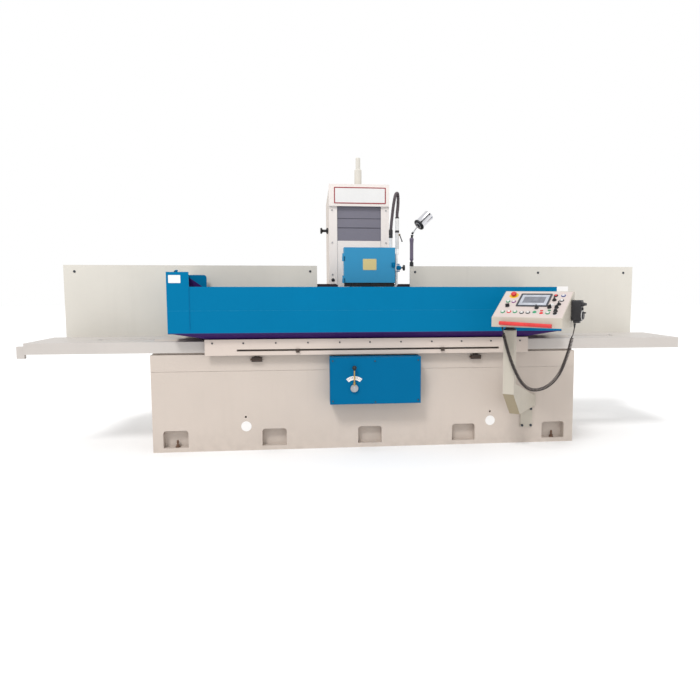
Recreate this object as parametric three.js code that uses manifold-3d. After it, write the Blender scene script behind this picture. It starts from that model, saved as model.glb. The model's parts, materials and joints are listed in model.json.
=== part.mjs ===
// Column-type surface grinder: hydraulic table on a long bed, moving column on a cross bed,
// lifting wheelhead with a hinged wheel guard, and an operator pendant on a post.
// Millimetres. +X along the table, +Y towards the column, +Z up.
// Origin: on the floor, under the middle of the table.
import * as THREE from 'three'
import { mergeVertices } from 'three/addons/utils/BufferGeometryUtils.js'
import Module from 'manifold-3d'

const wasm = await Module()
wasm.setup()

// ---- driving dimensions ----
const GAP = 0.3                       // clearance between pieces that touch

const BED = { halfX: 1565, front: -275, rear: 445, top: 704, plinthTop: 718.7 }
const POCKET = { w: 176, h: 126, z: 31, depth: 60, round: 22 }
const POCKET_X = [-1405, -705, -5, 705, 1407]
const BED_CORE = { wall: 45, rib: 40, roof: 640, count: 4 }
const SEAM = { z: 584, width: 3, depth: 3 }
const LIFT_HOLE = { x: [-909, 909], z: 247, r: 8, depth: 60 }
const PLINTH = { end: 12, side: 28 }
const WAY = { y: 150, halfW: 55, top: 799, apex: 813, halfX: 1550 }
const TRAY = { inner: 1180, outer: 2407, rear: 280, bottom: 719, top: 798, shelfTop: 740, slotEnd: 1990,
  rib: 6, sheet: 8, cellsX: 3, cellsY: 2 }
const DRAIN_LIP = { reach: 50, inset: 8, width: 32, z0: 690, z1: 775 }
const PANEL = { y: 460, t: 6, flange: 22, top: 1362, outer: 2384, innerLeft: -379, innerRight: 402 }

const TABLE = { halfX: 1130, halfY: 300, bottom: WAY.top + GAP, top: 965 }
const CHUCK = { halfX: 800, halfY: 300, bottom: TABLE.top + GAP, top: 1085 }
const CHUCK_GROOVE = { depth: 10, low: 30, high: 44 }
const APRON = { halfX: 1177, front: -335, t: 12, bottom: 702, top: 816, slotHalfX: 955, slotZ: 738, slotH: 14,
  ledge: 3.1 }
const PAN = { innerX: 1142, innerY: 312, bottom: 816, top: 866, t: 5, rim: 14 }
const GUARD = { halfX: 1412, front: -395, rear: 405, t: 8, bottom: PAN.top + GAP, seam: 1022, top: 1188,
  rearTop: 1095, flange: 24 }
const CORNER = { width: 150, top: 1290, rearWidth: 145, rearTop: 1283, round: 22, level: 120 }
const CYLINDER = { r: 38, bore: 30, z: 747, left: -1555, right: 225, cap: 40, slotHalfY: 46 }
const BRACKET = { length: 50, halfW: 32, drop: 25, socket: 20 }
const PISTON = { r: 29.5, rodR: 14, x: -660, length: 40 }
const DOG = { x: 527, halfW: 13, depth: 16, below: 18, above: 8, nutHalf: 18, nut: 9 }
const SWITCH_CAP = { halfW: 18, inset: 6, height: 8 }
const SWITCH = { x: [-820, 790], w: 74, depth: 30, z0: 652, z1: 690 }

const CROSS = { halfX: 420, front: 483, rear: 2720, top: 1130, valley: 205, valleyZ: 930 }
const CROSS_CORE = { wall: 60, rib: 50, roof: 860, count: 3 }
const FEED_NUT = { halfW: 70, y0: 2100, y1: 2240, drop: 40 }
const CROSS_SCREW = { r: 18, z: 985, front: 500, rear: 2719 }
const BELLOWS = { inner: 208, outer: 428, top: 1212 }
const COLUMN = { halfX: 262, front: 850, rear: 2395, bottom: 1205, top: 2085, cavity: 200, roof: 50, back: 50,
  rearPlate: 12 }
const SADDLE_SLOT_REAR = 1950
const COVER = { halfX: 268, face: 845, t: 6, openHalfX: 195, openBottom: 1212, headerZ: 1898, top: 2090,
  header: 20 }
const SHUTTERS = [{ name: 'shutter_upper', y: 857, z0: 1700, z1: 1925 },
  { name: 'shutter_middle', y: 853, z0: 1560, z1: 1775 }]
const LIFT_SCREW = { y: 965, r: 20, bottom: 1640, top: 2200, boreBottom: 1365 }

const SPINDLE = { z: 1290, r: 30, rear: 1480, neckR: 105, bore: 36 }
const WHEEL = { r: 170, bore: 63.5, y0: -75, y1: -25 }
const HOOD = { x0: -180, x1: 206, front: -99.7, rear: 50, z0: 1216, z1: 1483, t: 4 }
const DOOR = { front: -125, x0: -182, x1: 200, z0: 1219, z1: 1480 }
const HINGE = { x: -188.5, y: -118, r: 6, z: [1216, 1380], guardLeaf: 34, doorLeaf: 22 }
const SIDE_KNOB = { y: 1425, z: 1730 }
const BLOCK = { halfX: 185, y0: 870, z0: 1100, z1: 1490, towerTop: 1700, towerHalf: 60 }
const HEAD_PLATE = { halfX: 193, y: 847.2, t: 3, z0: 1100, z1: 1596 }
const MOTOR = { r: 130, length: 420 }
const COOLANT = { x: 218, y: -75, r: 11, z0: 1207, z1: 1400, valveZ: 1332 }
const RISER = { x: 236, y: 25, r: 13, top: 1720, tapZ: 1588 }
const STANDPIPE = { x: 187, y: 25, r: 12, top: 1566, sleeveR: 15, sleeveTop: 1626 }
const HOSE_R = 12.5
const HOSE_ROUTE = [[187, 25, 1570], [188, 24, 1630], [194, 21, 1700], [202, 16, 1776], [211, 11, 1840],
  [219, 9, 1880], [229, 17, 1899], [239, 31, 1902], [245, 42, 1882], [246, 43, 1848], [243, 37, 1800],
  [236, 25, 1748]]

const BOX = { x0: -301, x1: 353, front: -425, z0: 350, z1: 688, plate: 4, wall: 5 }
const LEVER = { x: -129, z: 468, ballZ: 617, hubR: 29, hub: 22, lean: 32, ballR: 16 }

const LAMP = { x: 417, y: 471, base: PANEL.top + GAP, elbow: [424, 1637], baseHeight: 39, sleeve: 196 }
const SHADE = { centre: [478, 467, 1707], along: [0.7, 0.28, 0.655], length: 131, r: 44,
  bore: 41.5, flangeR: 50 }
const PENDANT = { x: 783, y: -738, z: 984, turn: 36.4, tilt: 31.5, width: 480, face: 330, lip: 64, brim: 12 }
const POST = { u: 70, depth: 177.5, half: 40, halfDepth: 20, top: 888, bottom: 440 }
// Side outline of the post's leg: [depth behind the panel's front, height above the floor].
const LEG = [[157.5, 441], [157.5, 440], [306, 277], [810, 286], [810, 309], [197.5, 513], [157.5, 513]]
const LEG_PLATE = { x0: 1146, x1: 1238, z0: 122, wideX: 1262, wideZ: 280, z1: 376, t: 12 }
const NECK = [[0, 0], [44, 0], [44, 9], [30, 13], [30, 20], [46, 24], [46, 31.4], [0, 31.4]]
const HANDLE = { u0: 66, u1: 418, out: -30, z0: -36, z1: -48, r: 13, stayInset: 17, stayR: 9 }
const HANDSET = { x0: 483.5, x1: 548, y0: 200, y1: 265, z0: -22, z1: 116, foot: 14 }
const DIAL = { z: 14, r: 27, knobZ: 32, knobR: 5 }
const PRESSED = [{ u: 76, v: 272, r: 11 }, { u: 279, v: 64, r: 13 }, { u: 327, v: 53, r: 13 }]
const PRESS_DEPTH = 6
const SELECTOR = { u: 418, v: 51 }
const CORD_R = 12.5
const CORD_ROUTE = [[505, 214, -37.3], [505, 212, -62], [501, 204, -98], [494, 187, -146], [483, 162, -218],
  [466, 140, -286], [441, 127, -356], [402, 124, -418], [352, 122, -464], [308, 121, -485], [268, 120, -493],
  [232, 120, -488], [196, 119, -466], [164, 118, -428], [130, 118, -368], [100, 118, -300], [75, 118, -230],
  [56, 118, -165], [42, 118, -115], [35.5, 118, -84], [35, 118, -64.6]]

// ---- materials ----
const paint = (name, hex, roughness = 0.5, metalness = 0) =>
  Object.assign(new THREE.MeshStandardMaterial({ color: hex, roughness, metalness }), { name })
const CREAM = paint('cream', 0xd8cfc4)
const BLUE = paint('blue', 0x0583b6)
const BLUE_LIGHT = paint('guard_blue', 0x2c8fc6)
const DARK = paint('dark_steel', 0x77757f, 0.6, 0.3)
const STEEL = paint('steel', 0xb5b5b5, 0.35, 0.9)
const IRON = paint('iron', 0x6a6a6c, 0.6, 0.6)
const BLACK = paint('black', 0x1c1b1d, 0.5)
const RUBBER = paint('rubber', 0x4b4140, 0.8)
const RED = paint('red', 0xd8403c, 0.4)
const GREEN = paint('green', 0x3a9a62, 0.4)
const GRIT = paint('grit', 0xd7d2c8, 0.95)

// ---- solid helpers ----
function solid (geometry) {
  const g = geometry.index ? geometry.clone() : geometry
  g.deleteAttribute('normal')
  g.deleteAttribute('uv')
  const merged = mergeVertices(g, 1e-4)
  const mesh = new wasm.Mesh({ numProp: 3, vertProperties: merged.attributes.position.array,
    triVerts: Uint32Array.from(merged.index.array) })
  return new wasm.Manifold(mesh)
}

function geometryOf (manifold) {
  const mesh = manifold.getMesh()
  const g = new THREE.BufferGeometry()
  g.setAttribute('position', new THREE.BufferAttribute(mesh.vertProperties, 3))
  g.setIndex(new THREE.BufferAttribute(mesh.triVerts, 1))
  return g
}

const grinder = new THREE.Group()
grinder.name = 'surface_grinder'

function add (name, shape, material) {
  const mesh = new THREE.Mesh(shape.getMesh ? geometryOf(shape) : shape, material)
  mesh.name = name
  grinder.add(mesh)
}

const join = (first, ...rest) => rest.reduce((a, b) => a.add(b), first)
const cut = (first, ...rest) => rest.reduce((a, b) => a.subtract(b), first)

function box (x0, x1, y0, y1, z0, z1) {
  const g = new THREE.BoxGeometry(x1 - x0, y1 - y0, z1 - z0)
  return solid(g.translate((x0 + x1) / 2, (y0 + y1) / 2, (z0 + z1) / 2))
}

// Turns a shape standing on +Y so that it points along a direction.
function pointAlong (geometry, direction) {
  const up = new THREE.Vector3(0, 1, 0)
  geometry.applyQuaternion(new THREE.Quaternion().setFromUnitVectors(up, direction.normalize()))
}

// A cylinder or cone of radius ra at the start and rb at the end, from `from` to `to`.
function rod (from, to, ra, rb = ra, sides = 24) {
  const a = new THREE.Vector3(...from)
  const b = new THREE.Vector3(...to)
  const g = new THREE.CylinderGeometry(rb, ra, a.distanceTo(b), sides)
  pointAlong(g, b.clone().sub(a))
  const mid = a.add(b).multiplyScalar(0.5)
  return solid(g.translate(mid.x, mid.y, mid.z))
}

// Turned shape: profile of [radius, height] from axis to axis, standing on `at`, pointing along `dir`.
function turned (profile, at, dir, sides = 32) {
  const g = new THREE.LatheGeometry(profile.map(p => new THREE.Vector2(...p)), sides)
  pointAlong(g, new THREE.Vector3(...dir))
  return solid(g.translate(...at))
}

// Outline of [y, z] points extruded along X.
function barX (outline, x0, x1) {
  const shape = new THREE.Shape(outline.map(p => new THREE.Vector2(...p)))
  const g = new THREE.ExtrudeGeometry(shape, { depth: x1 - x0, bevelEnabled: false })
  g.applyMatrix4(new THREE.Matrix4().set(0, 0, 1, x0, 1, 0, 0, 0, 0, 1, 0, 0, 0, 0, 0, 1))
  return solid(g)
}

// Outline of [x, z] points extruded along Y.
function barY (outline, y0, y1) {
  const shape = new THREE.Shape(outline.map(p => new THREE.Vector2(...p)))
  const g = new THREE.ExtrudeGeometry(shape, { depth: y1 - y0, bevelEnabled: false })
  g.applyMatrix4(new THREE.Matrix4().set(1, 0, 0, 0, 0, 0, -1, y1, 0, 1, 0, 0, 0, 0, 0, 1))
  return solid(g)
}

// Round tube along a smooth curve through the points.
function tube (points, radius, sides, steps) {
  const section = new THREE.Shape()
  for (let i = 0; i < sides; i++) {
    const a = i / sides * 2 * Math.PI
    if (i === 0) section.moveTo(radius, 0)
    else section.lineTo(radius * Math.cos(a), radius * Math.sin(a))
  }
  const path = new THREE.CatmullRomCurve3(points.map(p => new THREE.Vector3(...p)), false, 'centripetal')
  return solid(new THREE.ExtrudeGeometry(section, { steps, bevelEnabled: false, extrudePath: path }))
}

// ---- bed ----
function wayTop (clear) {
  // The front way is a ridge, the rear one is flat. `clear` opens the outline for a mating groove.
  const half = WAY.halfW + clear
  const ridge = [[-WAY.y - half, BED.top], [-WAY.y + half, BED.top], [-WAY.y + half, WAY.top + clear],
    [-WAY.y, WAY.apex + clear], [-WAY.y - half, WAY.top + clear]]
  const flat = [[WAY.y - half, BED.top], [WAY.y + half, BED.top], [WAY.y + half, WAY.top + clear],
    [WAY.y - half, WAY.top + clear]]
  return join(barX(ridge, -WAY.halfX, WAY.halfX), barX(flat, -WAY.halfX, WAY.halfX))
}

function makeBed () {
  let bed = join(box(-BED.halfX, BED.halfX, BED.front, BED.rear, 0, BED.top),
    box(-BED.halfX + PLINTH.end, BED.halfX - PLINTH.end, BED.front + PLINTH.side, BED.rear - PLINTH.side,
      BED.top - 1, BED.plinthTop),
    wayTop(0))
  const { z, left, right, cap, slotHalfY } = CYLINDER
  bed = cut(bed, box(left - 1, right + 1, -slotHalfY, slotHalfY, z - cap - GAP, BED.plinthTop + 1))
  for (const x of POCKET_X) {
    const outline = pocketOutline(x)
    bed = cut(bed, barY(outline, BED.front - 1, BED.front + POCKET.depth),
      barY(outline, BED.rear - POCKET.depth, BED.rear + 1))
  }
  // Parting line of the casting and the holes for the lifting bars.
  bed = cut(bed, box(-BED.halfX - 1, BED.halfX + 1, BED.front - 1, BED.front + SEAM.depth,
    SEAM.z - SEAM.width / 2, SEAM.z + SEAM.width / 2))
  for (const x of LIFT_HOLE.x) {
    const { z, r, depth } = LIFT_HOLE
    bed = cut(bed, rod([x, BED.front - 1, z], [x, BED.front + depth, z], r, r, 16))
  }
  // Cored from below, with ribs between the cells.
  const { wall, rib, roof, count } = BED_CORE
  const pitch = (2 * (BED.halfX - wall) + rib) / count
  const inset = POCKET.depth + wall
  for (let i = 0; i < count; i++) {
    const x = -BED.halfX + wall + pitch * i
    bed = cut(bed, box(x, x + pitch - rib, BED.front + inset, BED.rear - inset, -1, roof))
  }
  add('bed', bed, CREAM)
}

function pocketOutline (x) {
  const { w, h, z, round: r } = POCKET
  const points = [[x - w / 2, z], [x + w / 2, z]]
  for (const [cx, start] of [[x + w / 2 - r, 0], [x - w / 2 + r, 90]]) {
    for (let i = 0; i <= 4; i++) {
      const a = THREE.MathUtils.degToRad(start + i * 22.5)
      points.push([cx + r * Math.cos(a), z + h - r + r * Math.sin(a)])
    }
  }
  return points
}

function makeCrossBed () {
  const { halfX, front, rear, top, valley, valleyZ } = CROSS
  let bed = join(box(-halfX, halfX, front, rear, 0, top),
    box(-halfX, halfX, BED.rear + GAP, front + 1, 0, BED.top - 4))
  bed = cut(bed, box(-valley, valley, front - 1, rear - 50, valleyZ, top + 1),
    rod([0, rear - 60, CROSS_SCREW.z], [0, rear + 5, CROSS_SCREW.z], 21))
  const { wall, rib, roof, count } = CROSS_CORE
  const pitch = (rear - front - 2 * wall + rib) / count
  for (let i = 0; i < count; i++) {
    const y = front + wall + pitch * i
    bed = cut(bed, box(-halfX + wall, halfX - wall, y, y + pitch - rib, -1, roof))
  }
  add('cross_bed', bed, CREAM)
}

function makeTray (name, side) {
  const { inner, outer, rear, bottom, top, shelfTop, slotEnd, rib, sheet, cellsX, cellsY } = TRAY
  const span = (a, b, ...rest) => side > 0 ? box(a, b, ...rest) : box(-b, -a, ...rest)
  let tray = join(span(inner, outer, BED.front, rear, bottom, top),
    span(inner, outer, rear - 1, PANEL.y - GAP, bottom, shelfTop))
  const slotY = CYLINDER.slotHalfY
  tray = cut(tray, wayTop(1.5), span(inner - 1, slotEnd, -slotY, slotY, bottom - 1, top + 1))
  // Ribbed underside outboard of the bed.
  const start = BED.halfX + PLINTH.end
  const cellX = (outer - start - rib) / cellsX
  const cellY = (rear - BED.front - rib) / cellsY
  for (let i = 0; i < cellsX; i++) {
    for (let j = 0; j < cellsY; j++) {
      const x0 = start + i * cellX
      const y0 = BED.front + rib + j * cellY
      tray = cut(tray, span(x0, x0 + cellX - rib, y0, y0 + cellY - rib, bottom - 1, top - sheet))
    }
  }
  const { reach, inset, width, z0, z1 } = DRAIN_LIP
  if (side < 0) {
    const y = BED.front + inset
    tray = join(tray, box(-outer - reach, -outer + 1, y, y + width, z0, z1))
  }
  add(name, tray, CREAM)
}

function makeRearPanel (name, x0, x1) {
  const { y, t, flange, top } = PANEL
  const bottom = TRAY.bottom
  add(name, join(box(x0, x1, y, y + t, bottom, top),
    box(x0, x0 + t, y, y + flange, bottom, top), box(x1 - t, x1, y, y + flange, bottom, top),
    box(x0, x1, y, y + flange, top - t, top)), CREAM)
}

// ---- table ----
function makeTable () {
  const { halfX, halfY, bottom, top } = TABLE
  const { length, halfW, drop, socket } = BRACKET
  const z = CYLINDER.z
  const plate = cut(box(-halfX, halfX, -halfY, halfY, bottom, top), wayTop(GAP))
  const bracket = box(halfX - length, halfX, -halfW, halfW, z - drop, bottom + 1)
  const rodSeat = rod([halfX - length - 1, 0, z], [halfX - socket, 0, z], PISTON.rodR + GAP)
  add('table', cut(join(plate, bracket), rodSeat), IRON)
}

function makeChuck () {
  const { halfX, halfY, bottom, top } = CHUCK
  const { depth, low, high } = CHUCK_GROOVE
  let chuck = box(-halfX, halfX, -halfY, halfY, bottom, top)
  for (const [y0, y1] of [[-halfY - 1, -halfY + depth], [halfY - depth, halfY + 1]]) {
    chuck = cut(chuck, box(-halfX - 1, halfX + 1, y0, y1, bottom + low, bottom + high))
  }
  add('magnetic_chuck', chuck, STEEL)
}

function makeApron () {
  const { halfX, front, t, bottom, top, slotHalfX, slotZ, slotH, ledge } = APRON
  const ledgeBack = -TABLE.halfY - GAP * 2
  const sheet = join(box(-halfX, halfX, front, front + t, bottom, top),
    box(-TABLE.halfX, TABLE.halfX, front + 1, ledgeBack, top - GAP - ledge, top - GAP))
  add('table_apron', cut(sheet,
    box(-slotHalfX, slotHalfX, front - 1, front + t + 1, slotZ - slotH / 2, slotZ + slotH / 2)), CREAM)
}

// Four-sided hopper shape between two rectangles at two heights.
function frustum (lowX, lowY0, lowY1, lowZ, highX, highY0, highY1, highZ) {
  const p = (x, y, z) => new THREE.Vector3(x, y, z)
  const corners = [p(-lowX, lowY0, lowZ), p(lowX, lowY0, lowZ), p(lowX, lowY1, lowZ), p(-lowX, lowY1, lowZ),
    p(-highX, highY0, highZ), p(highX, highY0, highZ), p(highX, highY1, highZ), p(-highX, highY1, highZ)]
  const faces = [[0, 3, 2], [0, 2, 1], [4, 5, 6], [4, 6, 7], [0, 1, 5], [0, 5, 4],
    [1, 2, 6], [1, 6, 5], [2, 3, 7], [2, 7, 6], [3, 0, 4], [3, 4, 7]]
  const g = new THREE.BufferGeometry().setFromPoints(corners)
  g.setIndex(faces.flat())
  return solid(g)
}

function makePan () {
  const { innerX, innerY, bottom, top, t, rim } = PAN
  const x = GUARD.halfX
  const outer = frustum(innerX, -innerY, innerY, bottom, x, GUARD.front, GUARD.rear, top)
  const inner = frustum(innerX - t, -innerY + t, innerY - t, bottom + t,
    x - t, GUARD.front + t, GUARD.rear - t, top + 1)
  const ring = cut(box(-x, x, GUARD.front, GUARD.rear, top - t, top),
    box(-x + rim, x - rim, GUARD.front + rim, GUARD.rear - rim, top - t - 1, top + 1))
  const tableX = TABLE.halfX + GAP
  const tableY = TABLE.halfY + GAP
  const hole = box(-tableX, tableX, -tableY, tableY, bottom - 1, top + 2)
  add('splash_pan', cut(join(cut(outer, inner), ring), hole), BLUE)
}

function makeGuards () {
  const { halfX, front, rear, t, bottom, seam, top, rearTop, flange } = GUARD
  const left = -halfX
  const right = halfX
  add('guard_lower', join(
    box(left, right, front, front + t, bottom, seam - GAP),
    box(left, left + t, front, rear - t - GAP, bottom, seam - GAP),
    box(right - t, right, front, rear - t - GAP, bottom, seam - GAP)), BLUE)
  add('guard_upper', join(
    box(left + CORNER.width + GAP, right, front, front + t, seam, top),
    box(left + CORNER.width + GAP, right, front, front + flange, top - t, top),
    box(right - t, right, front, rear - t - GAP, seam, top),
    box(right - flange, right, front, rear - t - GAP, top - t, top)), BLUE)
  const { width, top: high, rearWidth, rearTop: returnTop, round, level } = CORNER
  const rearOutline = [[left, seam], [left + rearWidth, seam], [left + rearWidth, returnTop - round]]
  for (let i = 1; i <= 4; i++) {
    const a = THREE.MathUtils.degToRad(i * 22.5)
    const x = left + rearWidth - round * (1 - Math.cos(a))
    rearOutline.push([x, returnTop - round * (1 - Math.sin(a))])
  }
  rearOutline.push([left, returnTop])
  const sideOutline = [[front, seam], [rear, seam], [rear, returnTop], [front + level, high], [front, high]]
  add('guard_corner', join(
    box(left, left + width, front, front + t, seam, high),
    barX(sideOutline, left, left + t),
    barY(rearOutline, rear - t, rear)), BLUE)
  add('guard_rear', join(
    box(left, right, rear - t, rear, bottom, seam - GAP),
    box(left + rearWidth + GAP, right, rear - t, rear, seam - 1, rearTop),
    box(left + rearWidth + GAP, right - t - GAP, rear - flange, rear, rearTop - t, rearTop)), BLUE)
}

function makeTableDrive () {
  const { r, bore, z, left, right, cap } = CYLINDER
  const end = x => box(x, x + 40, -cap, cap, z - cap, z + cap)
  add('table_cylinder', cut(join(rod([left, 0, z], [right, 0, z], r), end(left), end(right - 40)),
    rod([left + 15, 0, z], [right + 1, 0, z], bore)), STEEL)
  const { x, length, r: pistonR, rodR } = PISTON
  add('piston_rod', join(rod([x - length / 2, 0, z], [x + length / 2, 0, z], pistonR),
    rod([x, 0, z], [TABLE.halfX - BRACKET.socket - 1, 0, z], rodR)), STEEL)
}

function makeDog (name, x) {
  const { front, t, slotZ, slotH } = APRON
  const { halfW, depth, below, above, nutHalf, nut } = DOG
  const half = slotH / 2 - 0.5
  add(name, join(box(x - halfW, x + halfW, front - depth, front - GAP, slotZ - below, slotZ + above),
    box(x - halfW + 2, x + halfW - 2, front - 2, front + t + 2, slotZ - half, slotZ + half),
    box(x - nutHalf, x + nutHalf, front + t + GAP, front + t + nut, slotZ - nutHalf, slotZ + nutHalf)), IRON)
}

function makeSwitches () {
  const names = ['limit_switch_left', 'limit_switch_right']
  const { w, depth, z0, z1 } = SWITCH
  const { halfW, inset, height } = SWITCH_CAP
  const front = BED.front - depth
  names.forEach((name, i) => {
    const x = SWITCH.x[i]
    add(name, join(box(x - w / 2, x + w / 2, front, BED.front - GAP, z0, z1 - height),
      box(x - halfW, x + halfW, front + inset, BED.front - 4, z1 - height - 1, z1)), BLACK)
  })
}

// ---- control box on the front of the bed ----
function makeControlBox () {
  const { x0, x1, front, z0, z1, plate, wall } = BOX
  const casing = cut(box(x0, x1, front + plate, BED.front - GAP, z0, z1),
    box(x0 + wall, x1 - wall, front + plate + wall, BED.front + 1, z0 + wall, z1 - wall))
  const cover = box(x0 + wall, x1 - wall, front, front + plate + 1, z0 + wall, z1 - wall)
  add('control_box', join(casing, cover), BLUE)
  const { x, z, ballZ, hubR, hub, lean, ballR } = LEVER
  const y = front - GAP
  const boss = turned([[0, 0], [hubR, 0], [hubR, hub - 6], [hubR - 5, hub], [0, hub]], [x, y, z], [0, -1, 0])
  add('speed_lever', join(boss, rod([x, y - 14, z], [x, y - lean, ballZ], 6.5, 5),
    ball([x, y - lean, ballZ], ballR)), BLACK)
}

function ball (at, r) {
  return solid(new THREE.SphereGeometry(r, 12, 8).rotateX(Math.PI / 2).translate(...at))
}

// ---- cross slide and column ----
function makeSaddle () {
  const z0 = CROSS.top + GAP
  const z1 = COLUMN.bottom - GAP
  const { r, z } = CROSS_SCREW
  const { halfW, y0, y1, drop } = FEED_NUT
  const plate = box(-CROSS.halfX, CROSS.halfX, COLUMN.front + 4, COLUMN.rear, z0, z1)
  const nut = box(-halfW, halfW, y0, y1, z - drop, z0 + 1)
  const slot = box(-COLUMN.cavity, COLUMN.cavity, COLUMN.front, SADDLE_SLOT_REAR, z0 - 1, z1 + 1)
  const thread = rod([0, y0 - 10, z], [0, y1 + 10, z], r + 3)
  add('column_saddle', cut(join(plate, nut), slot, thread), CREAM)
}

function makeColumn () {
  const { halfX, front, rear, bottom, top, cavity, roof, back, rearPlate } = COLUMN
  let column = cut(box(-halfX, halfX, front, rear, bottom, top),
    box(-cavity, cavity, front - 1, rear - back, bottom - 1, top - roof),
    rod([0, LIFT_SCREW.y, top - roof - 1], [0, LIFT_SCREW.y, top + 1], LIFT_SCREW.r + 4))
  column = join(column, box(-halfX + 30, halfX - 30, rear - 1, rear + rearPlate, bottom + 60, top - 60))
  add('column', column, CREAM)
}

function makeCover () {
  const { halfX, face, t, openHalfX, openBottom, headerZ, top, header } = COVER
  const back = COLUMN.front - GAP
  const plate = cut(box(-halfX, halfX, back - t, back, COLUMN.bottom + 2, top),
    box(-openHalfX, openHalfX, back - t - 1, back + 1, openBottom - 20, headerZ))
  const front = face - header
  add('column_front_cover', join(plate, box(-halfX, halfX, front, back - 1, headerZ, top)), CREAM)
}

function makeShutters () {
  const x = COLUMN.cavity - 3
  for (const { name, y, z0, z1 } of SHUTTERS) add(name, box(-x, x, y, y + 3, z0, z1), DARK)
}

function makeLiftScrew () {
  const { y, r, bottom, top } = LIFT_SCREW
  add('elevation_screw', rod([0, y, bottom], [0, y, top], r), STEEL)
  const z = COLUMN.top + GAP
  add('screw_cover', turned([[0, 152], [26, 152], [26, 0], [48, 0], [48, 12], [32, 14], [32, 148], [21, 158],
    [21, 250], [18, 257], [0, 257]], [0, y, z], [0, 0, 1]), CREAM)
}

function makeSideKnob () {
  const profile = [[0, 0], [26, 0], [30, 6], [28, 14], [13, 22],
    [13, 52], [28, 60], [30, 68], [25, 76], [0, 76]]
  const at = [-COLUMN.halfX - GAP, SIDE_KNOB.y, SIDE_KNOB.z]
  add('side_knob', turned(profile, at, [-1, 0, 0]), BLACK)
}

function makeCrossDrive () {
  const { r, z, front, rear } = CROSS_SCREW
  add('cross_feed_screw', rod([0, front, z], [0, rear, z], r), STEEL)
  const y = CROSS.rear + GAP
  const section = (half, y0, y1) => box(-half, half, y + y0, y + y1, z - half, z + half)
  add('cross_feed_motor', join(section(75, 0, 24), section(65, 20, 170), section(45, 165, 215)), BLACK)
}

function makeBellows () {
  const y0 = CROSS.front + 6
  const y1 = COLUMN.front - 16
  const { inner, outer, top } = BELLOWS
  for (const [name, x0, x1] of [['bellows_left', -outer, -inner], ['bellows_right', inner, outer]]) {
    add(name, box(x0, x1, y0, y1, CROSS.top + GAP, top), RUBBER)
  }
}

// ---- wheelhead ----
function makeWheelhead () {
  const { halfX, y0, z0, z1, towerTop, towerHalf } = BLOCK
  const { z, neckR, bore, rear } = SPINDLE
  const profile = [[0, 0], [neckR + 18, 0], [neckR + 18, 26], [neckR, 34], [neckR, 560],
    [neckR + 22, 640], [neckR + 22, 830], [0, 830]]
  const neck = turned(profile, [0, HOOD.rear + GAP, z], [0, 1, 0])
  const screwY = LIFT_SCREW.y
  const tower = box(-towerHalf, towerHalf, screwY - towerHalf, screwY + towerHalf, z1 - 1, towerTop)
  const screwBore = rod([0, screwY, LIFT_SCREW.boreBottom], [0, screwY, towerTop + 1], LIFT_SCREW.r + 3)
  const head = join(box(-halfX, halfX, y0, rear, z0, z1), neck, tower)
  add('wheelhead', cut(head, rod([0, 0, z], [0, rear + 1, z], bore), screwBore), BLUE_LIGHT)
  const { halfX: plateX, y: plateY, t, z0: low, z1: high } = HEAD_PLATE
  add('head_plate', cut(box(-plateX, plateX, plateY, plateY + t, low, high),
    rod([0, plateY - 7, z], [0, plateY + 13, z], neckR + 25, neckR + 25, 32)), CREAM)
  const { r, length } = MOTOR
  const y = rear + GAP
  const motor = turned([[0, 0], [r, 0], [r, 20], [r - 12, 24], [r - 12, length - 90], [r - 4, length - 86],
    [r - 4, length - 20], [r - 30, length], [0, length]], [0, y, z], [0, 1, 0])
  add('spindle_motor', cut(motor, rod([0, y - 1, z], [0, y + 60, z], SPINDLE.r + 2)), DARK)
}

function makeSpindle () {
  const { z, r, rear } = SPINDLE
  const y = WHEEL.y0
  // Shaft, rear flange and the seat that carries the wheel.
  const profile = [[0, -22], [24, -22], [24, 0], [WHEEL.bore - GAP, 0], [WHEEL.bore - GAP, 50 + GAP],
    [92, 50 + GAP], [92, 66], [r + 16, 70], [r + 16, 110], [r, 112], [r, rear - y + 50], [0, rear - y + 50]]
  add('spindle', turned(profile, [0, y, z], [0, 1, 0], 40), STEEL)
  const ring = cut(rod([0, WHEEL.y0, z], [0, WHEEL.y1, z], WHEEL.r, WHEEL.r, 64),
    rod([0, WHEEL.y0 - 1, z], [0, WHEEL.y1 + 1, z], WHEEL.bore, WHEEL.bore, 40))
  add('grinding_wheel', ring, GRIT)
  const nut = rod([0, y - 20, z], [0, y - 12, z], 40, 40, 6)
  const plate = join(rod([0, y - 14, z], [0, y - GAP, z], 86, 92, 40), nut)
  add('wheel_flange', cut(plate, rod([0, y - 23, z], [0, y + 1, z], 24 + GAP)), IRON)
}

function makeGuardHood () {
  const { x0, x1, front, rear, z0, z1, t } = HOOD
  const hood = cut(box(x0, x1, front, rear, z0, z1),
    box(x0 + t, x1 - t, front - 1, rear - t, z0 - 1, z1 - t),
    rod([0, rear - t - 1, SPINDLE.z], [0, rear + 1, SPINDLE.z], SPINDLE.r + 20))
  const { x, y, r, guardLeaf } = HINGE
  const leaves = HINGE.z.flatMap(z => [rod([x, y, z], [x, y, z + guardLeaf], r, r, 12),
    box(x - r, x0 + 1, y, front + 24, z, z + guardLeaf)])
  add('wheel_guard', join(hood, ...leaves), BLUE_LIGHT)
}

function makeGuardDoor () {
  const { front, x0, x1, z0, z1 } = DOOR
  const back = HOOD.front - GAP
  const { x, y, r, guardLeaf, doorLeaf } = HINGE
  const notch = x0 + 8
  let door = box(x0, x1, front, back, z0, z1)
  for (const z of HINGE.z) {
    const low = z + guardLeaf + GAP
    const high = low + doorLeaf
    door = join(door, box(x, x0 + 1, y - r, y + r, low, high), rod([x, y, low], [x, y, high], r, r, 12))
    door = cut(door, box(x - 2 * r, notch, front - 2, back + 1, z - 2, low - 0.05))
  }
  add('guard_door', door, BLUE_LIGHT)
}

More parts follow.
